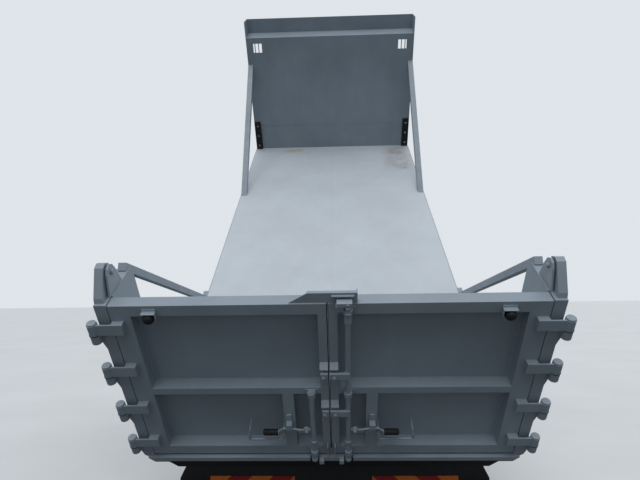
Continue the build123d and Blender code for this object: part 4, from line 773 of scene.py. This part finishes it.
plateSection, plateCorners = [(-2, 0), (-1, 1.8), (1, 1.8), (2, 0)], frameAt(*frontMake["plateEdge"])
plateEdge = rimRound(plateSection, plateCorners, frontMake["plateBend"], (0, 1, 0))
newPiece("front_plate_blank", joined(blockAt(*frontMake["plate"]), plateEdge), "chassis", "cabPaint")

# Rubber seals round the cab's glass, carried round each opening on the plane that it lies in. The windscreen
# leans back: its y falls from the foot's by a share of the height above it.
sealMake = {"section": [(-14, -21), (-16, -2), (-12, 3), (0, 4.2), (12, 3), (16, -2), (14, -21)],
    "front": (-0.897, 0.897, 1.334, 2.086, 0), "frontBend": 0.055, "foot": (5.16, 1.26), "lean": 0.2195,
    "square": (0, 0.9767, 0.2144), "back": (-0.597, 0.597, 1.603, 2.047, 3.46), "backBend": 0.045,
    "side": [(1.05, 3.963, 1.533), (1.05, 4.776, 1.533), (1.05, 4.688, 2.147), (1.05, 3.963, 2.147)],
    "sideBend": 0.035}


def faceY(z):
    footY, footZ = sealMake["foot"]
    return footY - sealMake["lean"] * (z - footZ)


frontCorners = [(x, faceY(z), z) for x, _, z in frameAt(*sealMake["front"])]
frontSeal = rimRound(sealMake["section"], frontCorners, sealMake["frontBend"], sealMake["square"], 6)
backSeal = rimRound(sealMake["section"], frameAt(*sealMake["back"]), sealMake["backBend"], (0, -1, 0), 6)
sideSeal = rimRound(sealMake["section"], sealMake["side"], sealMake["sideBend"], (1, 0, 0), 6)
newPiece("window_seals", joined(frontSeal, backSeal), "cab", "rubber")
onDoors("seal_", sideSeal, cabDoors, "rubber")

# Door handles: a bowed grip on two feet over a shallow cup, with its lock barrel
handleMake = {"bow": [(1.052, 4.0), (1.078, 4.018), (1.084, 4.075), (1.078, 4.132), (1.052, 4.15)], "up": 1.43,
    "thick": 11.5, "cup": (1.0492, 4.075), "lock": (1.049, 4.19)}
cup = turned([(52, 0), (52, 3), (49, 4.5), (40, 3.5), (4, 3)], 36)
lock = turned([(12, 0), (12, 6), (10, 8), (3, 8.5)], 20)
handle = joined(tube([(*place, handleMake["up"]) for place in handleMake["bow"]], handleMake["thick"], 12),
    copies(cup, [(*handleMake["cup"], handleMake["up"])], outward),
    copies(lock, [(*handleMake["lock"], handleMake["up"])], outward))
onDoors("handle_", handle, cabDoors, "darkPlastic")

# Wipers: an arm from its spindle over the glass, and a blade in its carrier along the glass's foot
wiperMake = {"pivots": (-0.62, 0.12), "pivotUp": 1.29, "reach": 0.36, "endUp": 1.43, "arm": 5.5, "carrier": 6,
    "rubber": 3.6, "proud": 0.004, "back": (0, 0.006, 0), "armBend": [(0, 0.012, 0.002), (0.1, 0.016, 0.05)],
    "blade": [(-0.26, 0.006, -0.022), (0, 0.002, 0), (0.22, 0.006, 0.018)]}
spindleShape = turned([(16, 0), (16, 10), (11, 16), (3, 17)], 20)
wipers = []
for pivot in wiperMake["pivots"]:
    proud, armX = wiperMake["proud"], pivot + wiperMake["reach"]
    spindle = np.array([pivot, faceY(wiperMake["pivotUp"]) + proud, wiperMake["pivotUp"]])
    armEnd = np.array([armX, faceY(wiperMake["endUp"]) - proud, wiperMake["endUp"]])
    blade = armEnd + wiperMake["blade"]
    wipers += [copies(spindleShape, [spindle], facing(sealMake["square"])),
        tube([*(spindle + wiperMake["armBend"]), armEnd], wiperMake["arm"], 8),
        tube(blade - wiperMake["back"], wiperMake["carrier"], 8), tube(blade, wiperMake["rubber"], 8)]
newPiece("wipers", joined(*wipers), "cab", "darkPlastic")

# Mirrors: a shell with a rounded back, its glass let in behind a rim, on two tube arms with clamps
mirrorMake = {"shell": ((1.162, 4.902, 1.552), (1.298, 4.948, 1.948), 0.022), "pane": (0.112, 0.372, 0.004),
    "rim": (1.17, 1.29, 1.56, 1.94, 4.901), "bend": 0.02, "paneAt": (1.23, 4.9005, 1.75), "paneRound": 0.0018,
    "arm": 9.5, "armUps": (1.66, 1.85), "armPath": [(1.046, 4.915, 0), (1.1, 4.918, 0.006), (1.175, 4.922, 0)],
    "clamp": ((1.04, 4.89, -0.024), (1.056, 4.94, 0.024), 0.005)}
rimSection, rimCorners = [(-5, -6), (-5, 6), (0, 9), (5, 6), (5, -6)], frameAt(*mirrorMake["rim"])
mirrorRim = rimRound(rimSection, rimCorners, mirrorMake["bend"], (0, -1, 0))
mirrorArm = joined(tube(mirrorMake["armPath"], mirrorMake["arm"], 12), blockAt(*mirrorMake["clamp"]))
mirrorArms = copies(mirrorArm, [(0, 0, z) for z in mirrorMake["armUps"]])
mirrorShell = joined(blockAt(*mirrorMake["shell"]), mirrorRim, mirrorArms)
mirrorBody = newPiece("mirror_shells", bothSides(mirrorShell), "cab", "darkPlastic")
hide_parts("mirrors")
mirrorPane = copies(roundBlock(mirrorMake["pane"], mirrorMake["paneRound"]), [mirrorMake["paneAt"]], rearward)
newPiece("mirror_panes", bothSides(mirrorPane), "cab", "mirrorGlass")
print("stage: lamps, seals and mirrors made")

# Seats: a pedestal, a seat and a back cushion and a headrest. Each cushion is blown up a little as cloth
# under pressure, with its movement capped, then sewn channels are pressed in along straight lines, each
# given as the axis that it crosses and its place on it.
seatMake = {"across": 0.48, "voxel": 0.007, "pressure": 4.0, "frames": 20, "cap": 0.022, "channel": 0.007,
    "channelDepth": 0.007,
    "cushion": {"size": (0.43, 0.44, 0.105), "radius": 0.04, "at": (0, 3.915, 1.245), "towards": (0, 0, 1),
        "lines": [(0, -0.135), (0, 0.135), (1, -0.07), (1, 0.06)]},
    "back": {"size": (0.41, 0.075, 0.47), "radius": 0.03, "at": (0, 3.64, 1.595), "towards": (0, 1, 0),
        "lines": [(0, -0.13), (0, 0.13), (2, -0.1), (2, 0.04)]},
    "headrest": {"size": (0.25, 0.07, 0.12), "radius": 0.028, "at": (0, 3.64, 1.915), "towards": (0, 1, 0),
        "lines": [(2, -0.02)]}}


def meshPoints(mesh):
    points = np.empty(len(mesh.vertices) * 3)
    mesh.vertices.foreach_get("co", points)
    return points.reshape(-1, 3)


def puffed(shape):
    scene = bpy.context.scene
    mesh = bpy.data.meshes.new("pad")
    mesh.from_pydata(np.asarray(shape[0]).tolist(), [], shape[1])
    pad = bpy.data.objects.new("pad", mesh)
    scene.collection.objects.link(pad)
    remesh = pad.modifiers.new("remesh", "REMESH")
    remesh.mode = "VOXEL"
    remesh.voxel_size = seatMake["voxel"]
    fine = bpy.data.meshes.new_from_object(pad.evaluated_get(bpy.context.evaluated_depsgraph_get()))
    pad.modifiers.clear()
    pad.data = fine
    cloth = pad.modifiers.new("cloth", "CLOTH")
    cloth.settings.use_pressure = True
    cloth.settings.uniform_pressure_force = seatMake["pressure"]
    cloth.settings.effector_weights.gravity = 0.0
    cloth.point_cache.frame_start = 1
    cloth.point_cache.frame_end = seatMake["frames"]
    for step in range(1, seatMake["frames"] + 1):
        scene.frame_set(step)
    blown = bpy.data.meshes.new_from_object(pad.evaluated_get(bpy.context.evaluated_depsgraph_get()))
    before = meshPoints(fine)
    move = meshPoints(blown) - before
    far = np.linalg.norm(move, axis=1, keepdims=True)
    after = before + move * np.minimum(1, seatMake["cap"] / np.maximum(far, 1e-9))
    faces = [list(face.vertices) for face in fine.polygons]
    bpy.data.objects.remove(pad)
    scene.frame_set(1)
    return after, faces


# A channel pulls the skin in by depth * exp(-(distance / width)^2) on the side that the seat shows
def sewn(points, lines, towards):
    points, towards = np.array(points), np.asarray(towards, float)
    middle = points.mean(0)
    shown = ((points - middle) @ towards > 0).astype(float)
    pull = np.zeros(len(points))
    for axis, place in lines:
        away = points[:, axis] - middle[axis] - place
        pull = np.maximum(pull, np.exp(-(away / seatMake["channel"]) ** 2))
    return points - (pull * shown * seatMake["channelDepth"])[:, None] * towards


for word in ("cushion", "back", "headrest"):
    make = seatMake[word]
    points, faces = puffed(copies(roundBlock(make["size"], make["radius"], 5, 5), [make["at"]]))
    points = sewn(points, make["lines"], make["towards"])
    for side, name in ((1, "right"), (-1, "left")):
        moved = points + [side * seatMake["across"], 0, 0]
        cushion = newPiece("seat_" + word + "_" + name, (moved, faces), "cab", "seatCloth", sharp=180)
        smooth = cushion.modifiers.new("smooth", "SUBSURF")
        smooth.levels = smooth.render_levels = 1
        if (word, name) == ("cushion", "right"):
            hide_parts("seats")
pedestalMake = {"base": ((-0.185, 3.72, 0.992), (0.185, 4.11, 1.15), 0.018), "knobAt": (0.222, 3.7, 1.235),
    "tray": ((-0.205, 3.7, 1.146), (0.205, 4.125, 1.182), 0.012), "lever": 8,
    "post": [(0, 3.64, 1.8), (0, 3.64, 1.88)], "postThick": 6, "postAcross": (-0.05, 0.05),
    "leverPath": [(0.235, 3.7, 1.235), (0.238, 3.76, 1.262), (0.238, 3.86, 1.262)]}
reclineKnob = turned([(46, 0), (46, 20), (40, 26), (6, 28)], 28)
pedestal = joined(blockAt(*pedestalMake["base"]), blockAt(*pedestalMake["tray"]),
    copies(reclineKnob, [pedestalMake["knobAt"]], outward),
    tube(pedestalMake["leverPath"], pedestalMake["lever"]),
    copies(tube(pedestalMake["post"], pedestalMake["postThick"]), [(x, 0, 0) for x in pedestalMake["postAcross"]]))
pedestals = copies(pedestal, [(side * seatMake["across"], 0, 0) for side in (1, -1)])
newPiece("seat_frames", pedestals, "cab", "darkPlastic")
print("stage: seats made")

# Inside the cab: an instrument hood, a shelf, the wheel's boss, the gear lever in its gaiter, and the grab rails
insideMake = {"hood": ((0.27, 4.74, 1.24), (0.69, 4.93, 1.325), 0.03), "bossAt": (0.48, 4.577, 1.405),
    "bossFacing": (0, -0.5, 0.87), "knobFacing": (0.1, -0.3, 1),
    "shelf": ((-0.22, 4.738, 1.14), (0.12, 4.76, 1.238), 0.008), "gaiterAt": (0.06, 4.36, 0.99),
    "lever": [(0.06, 4.36, 1.05), (0.062, 4.35, 1.15), (0.075, 4.315, 1.27)], "leverThick": 6.5,
    "knobAt": (0.075, 4.315, 1.262), "railThick": 11,
    "rail": [(1.047, 3.8, 1.12), (1.076, 3.8, 1.15), (1.076, 3.8, 1.64), (1.047, 3.8, 1.67)]}
gaiter = turned([(60, 0), (60, 6), (50, 12), (54, 20), (40, 30), (43, 38), (28, 50), (31, 58), (16, 70),
        (10, 75)], 28)
knob = turned([(8, -4), (18, 4), (24, 20), (23, 36), (14, 47), (4, 50)], 24)
boss = turned([(52, 0), (52, 16), (44, 26), (20, 30), (4, 30.5)], 32)
controls = joined(blockAt(*insideMake["hood"]), blockAt(*insideMake["shelf"]),
    copies(boss, [insideMake["bossAt"]], facing(insideMake["bossFacing"])),
    copies(gaiter, [insideMake["gaiterAt"]]), tube(insideMake["lever"], insideMake["leverThick"]),
    copies(knob, [insideMake["knobAt"]], facing(insideMake["knobFacing"])))
newPiece("cab_controls", controls, "cab", "darkPlastic")
newPiece("cab_grab_rails", bothSides(tube(insideMake["rail"], insideMake["railThick"], 12)), "cab", "darkPlastic")

# Springs' bolts: two bent bars over each spring with nuts under a plate, at both axles
# Each axle is given as its place forward, half the bars' spread, and the spring pack's underside and top
springMake = {"across": 0.3875, "halfWide": 0.0375, "bar": 6.8, "bend": 0.016,
    "axles": ((wheelbase, 0.048, 0.3105, 0.4415), (0.0, 0.072, 0.3275, 0.5225)),
    "plate": (0.05, 0.016, 0.011), "saddle": (0.03, -0.01, 0.01), "plateRound": 0.003, "barDown": 0.016,
    "barUp": 0.017, "nutDown": 0.0118}
nut = turned([(11.5, 0), (11.5, 10), (9.5, 12)], 6)
boltParts = []
x, wide = springMake["across"], springMake["halfWide"]
for axleY, spread, under, top in springMake["axles"]:
    for (half, more, thick), z in ((springMake["plate"], under), (springMake["saddle"], top)):
        long = spread + more
        low, high = (x - half, axleY - long, z), (x + half, axleY + long, z + thick)
        boltParts.append(blockAt(low, high, springMake["plateRound"]))
    for y in (axleY - spread, axleY + spread):
        foot, crown = under - springMake["barDown"], top + springMake["barUp"]
        bar = cornered([(x - wide, y, foot), (x - wide, y, crown), (x + wide, y, crown), (x + wide, y, foot)],
            springMake["bend"], 5, openEnds=True)
        boltParts += [carried(circle(springMake["bar"], 10), bar, (0, 1, 0)),
            copies(nut, [(x + d, y, under - springMake["nutDown"]) for d in (-wide, wide)])]
newPiece("spring_bolts", bothSides(joined(*boltParts)), "chassis", "castIron")

# Two rows of round bolt heads along the frame rails' outer webs
railMake = {"across": 0.42, "run": (-0.9, 4.95, 0.15), "ups": (0.595, 0.725)}
railHead = turned([(10.5, -1), (10.5, 1), (8.5, 4.5), (4.5, 6.2), (1.5, 6.5)], 10)
railPlaces = [(railMake["across"], y, z) for y in np.arange(*railMake["run"]) for z in railMake["ups"]]
newPiece("rail_bolts", bothSides(copies(railHead, railPlaces, outward)), "chassis", "framePaint")

# Bands round the fuel tank and its filler cap
tankMake = {"band": (0.4485, 0.9615, 0.4185, 0.8015), "bands": (1.98, 2.42), "bend": 0.062,
    "cap": (0.8, 2.2, 0.8)}
tankCap = turned([(48, 0), (48, 10), (44, 13), (44, 26), (40, 30), (12, 32), (12, 38), (4, 39)], 36)
tankStrap = [(-1.8, -20), (-1.8, 20), (1.8, 20), (1.8, -20)]
tankFrames = [frameAt(*tankMake["band"], y) for y in tankMake["bands"]]
tankBands = [rimRound(tankStrap, corners, tankMake["bend"], (0, 1, 0), 8) for corners in tankFrames]
newPiece("tank_bands", joined(*tankBands, copies(tankCap, [tankMake["cap"]])), "chassis", "galvanised")

# Battery box lid with three ribs and two catches
lidMake = {"lid": ((-0.944, 2.246, 0.762), (-0.446, 2.804, 0.788), 0.01), "half": 0.014,
    "ribs": (2.36, 2.525, 2.69), "rib": (-0.9, -0.49, 0.784, 0.795, 0.005),
    "catches": (2.4, 2.65), "catch": (-0.952, -0.938, 0.715, 0.775, 0.004)}
lidParts = [blockAt(*lidMake["lid"])]
for places, (x0, x1, z0, z1, radius) in ((lidMake["ribs"], lidMake["rib"]), (lidMake["catches"], lidMake["catch"])):
    lidParts += [blockAt((x0, y - lidMake["half"], z0), (x1, y + lidMake["half"], z1), radius) for y in places]
newPiece("battery_lid", joined(*lidParts), "chassis", "darkPlastic")

# Bands and a drain cock on the air tanks
airMake = {"across": -0.62, "ups": (0.52, 0.69), "bands": (1.48, 1.96), "radius": 0.0795,
    "cock": (-0.62, 1.725, 0.443)}
bandLoop = np.insert(circle(airMake["radius"], 40), 1, 0, axis=1)
airBand = carried([(-1.4, -14), (-1.4, 14), (1.4, 14), (1.4, -14)], bandLoop, (0, 1, 0), True)
cock = turned([(10, 0), (10, 10), (6, 14), (6, 22), (3, 23)], 12)
airPlaces = [(airMake["across"], y, z) for z in airMake["ups"] for y in airMake["bands"]]
airParts = joined(copies(airBand, airPlaces), copies(cock, [airMake["cock"]], facing((0, 0, -1))))
newPiece("air_tank_bands", airParts, "chassis", "galvanised")

# Differential cover: a pressed dish with a rim of bolts and a filler plug
coverMake = {"boltCircle": 0.1315, "bolts": 10, "plug": (0.075, 0.03, 0), "at": (0, -0.118, tyreMake["radius"])}
boltPlaces = np.pad(circle(coverMake["boltCircle"], coverMake["bolts"]), ((0, 0), (0, 1)))
cover = joined(turned([(139, -2), (139, 7), (128, 10), (118, 13), (95, 30), (55, 42), (6, 45)], 48),
    copies(turned([(8.5, 6), (8.5, 13), (7, 15)], 6), boltPlaces),
    copies(turned([(14, 20), (14, 38), (11, 41)], 6), [coverMake["plug"]]))
newPiece("axle_cover", copies(cover, [coverMake["at"]], rearward), "chassis", "castIron")

# Strips with bolts that hold the mud flaps
flapMake = {"strip": ((0.592, -0.706, 0.616), (1.073, -0.7005, 0.654), 0.002),
    "bolts": [(x, -0.706, 0.635) for x in (0.62, 0.76, 0.905, 1.045)]}
flapStrip = joined(blockAt(*flapMake["strip"]), copies(screwHead, flapMake["bolts"], rearward))
newPiece("flap_strips", bothSides(flapStrip), "chassis", "galvanised")
print("stage: cab and chassis trimmed")

# Camera: its place and its axes on the bed's, and the lens
view = {"place": (0.0515, -1.7902, 2.5608), "right": (0.99927, 0.03584, -0.01286),
    "up": (0.01676, -0.11093, 0.99369), "lens": 28.16, "sensor": 36, "far": 300}
cameraData = bpy.data.cameras.new("photoCamera")
cameraData.lens = view["lens"]
cameraData.sensor_width = view["sensor"]
cameraData.clip_end = view["far"]
camera = bpy.data.objects.new("photoCamera", cameraData)
bpy.context.scene.collection.objects.link(camera)
rightward = np.array(view["right"]) / np.linalg.norm(view["right"])
backward = np.cross(rightward, view["up"])
backward /= np.linalg.norm(backward)
upward = np.cross(backward, rightward)
turnTo = Matrix(np.column_stack([rightward, upward, backward]).tolist()).to_4x4()
turnTo.translation = onBed([view["place"]])[0].tolist()
camera.matrix_world = turnTo
bpy.context.scene.camera = camera

# The studio: a pale floor that throws back less light than it shows, and a plain sky
stage = {"reach": 90.0, "down": -0.002, "colour": card(214, 217, 219), "cloud": card(208, 211, 213),
    "bounce": card(90, 92, 94), "washes": ((0.6, 3), (0.3, 0.7)), "rough": 0.9,
    "world": (0.84, 0.9, 0.96, 1), "worldLight": 0.46,
    "backdrop": (0.74, 0.78, 0.82, 1)}
ground = bpy.data.meshes.new("studioFloor")
groundCorners = np.array([(-1, -1, 0), (1, -1, 0), (1, 1, 0), (-1, 1, 0)]) * stage["reach"] + (0, 0, stage["down"])
ground.from_pydata(groundCorners.tolist(), [], [(0, 1, 2, 3)])
floorWires = Wires("studioFloor")
wash = floorWires.mix(floorWires.patches(*stage["washes"]), stage["cloud"], stage["colour"])
seen = floorWires.add("ShaderNodeLightPath").outputs["Is Camera Ray"]
floorWires.give(floorWires.shader.inputs["Base Color"], floorWires.mix(seen, stage["bounce"], wash))
floorWires.shader.inputs["Roughness"].default_value = stage["rough"]
ground.materials.append(floorWires.material)
studioFloor = bpy.data.objects.new("studioFloor", ground)
bpy.context.scene.collection.objects.link(studioFloor)

world = bpy.data.worlds.new("studioSky")
world.use_nodes = True
sky = world.node_tree
light = sky.nodes["Background"]
light.inputs["Color"].default_value = stage["world"]
light.inputs["Strength"].default_value = stage["worldLight"]
shown = sky.nodes.new("ShaderNodeBackground")
shown.inputs["Color"].default_value = stage["backdrop"]
shown.inputs["Strength"].default_value = 1.0
path = sky.nodes.new("ShaderNodeLightPath")
either = sky.nodes.new("ShaderNodeMath")
either.operation = "MAXIMUM"
blendSky = sky.nodes.new("ShaderNodeMixShader")
surface = sky.nodes["World Output"].inputs["Surface"]
for source, socket in ((path.outputs["Is Camera Ray"], either.inputs[0]), (light.outputs[0], blendSky.inputs[1]),
        (path.outputs["Is Transmission Ray"], either.inputs[1]), (shown.outputs[0], blendSky.inputs[2]),
        (either.outputs[0], blendSky.inputs[0]), (blendSky.outputs[0], surface)):
    sky.links.new(source, socket)
bpy.context.scene.world = world

lamps = [
    {"name": "skyLight", "at": (0.5, -2.2, 10.0), "aim": (0, 0, 0), "degrees": 75, "power": 0.8},
    {"name": "rearLight", "at": (-1.0, -12.0, 11.0), "aim": (0, -3.0, 1.3), "degrees": 36, "power": 0.85},
    {"name": "frontLight", "at": (7.0, 12.0, 7.0), "aim": (0, 2.0, 1.5), "degrees": 40, "power": 0.65},
]
for lamp in lamps:
    sun = bpy.data.lights.new(lamp["name"], "SUN")
    sun.energy = lamp["power"]
    sun.angle = math.radians(lamp["degrees"])
    holder = bpy.data.objects.new(lamp["name"], sun)
    bpy.context.scene.collection.objects.link(holder)
    turnTo = Matrix(facing(np.array(lamp["at"]) - np.array(lamp["aim"]), (0, 1, 0.01)).T.tolist()).to_4x4()
    turnTo.translation = lamp["at"]
    holder.matrix_world = turnTo
bpy.context.scene.view_settings.view_transform = "Standard"
print("stage: camera, floor and lamps set")
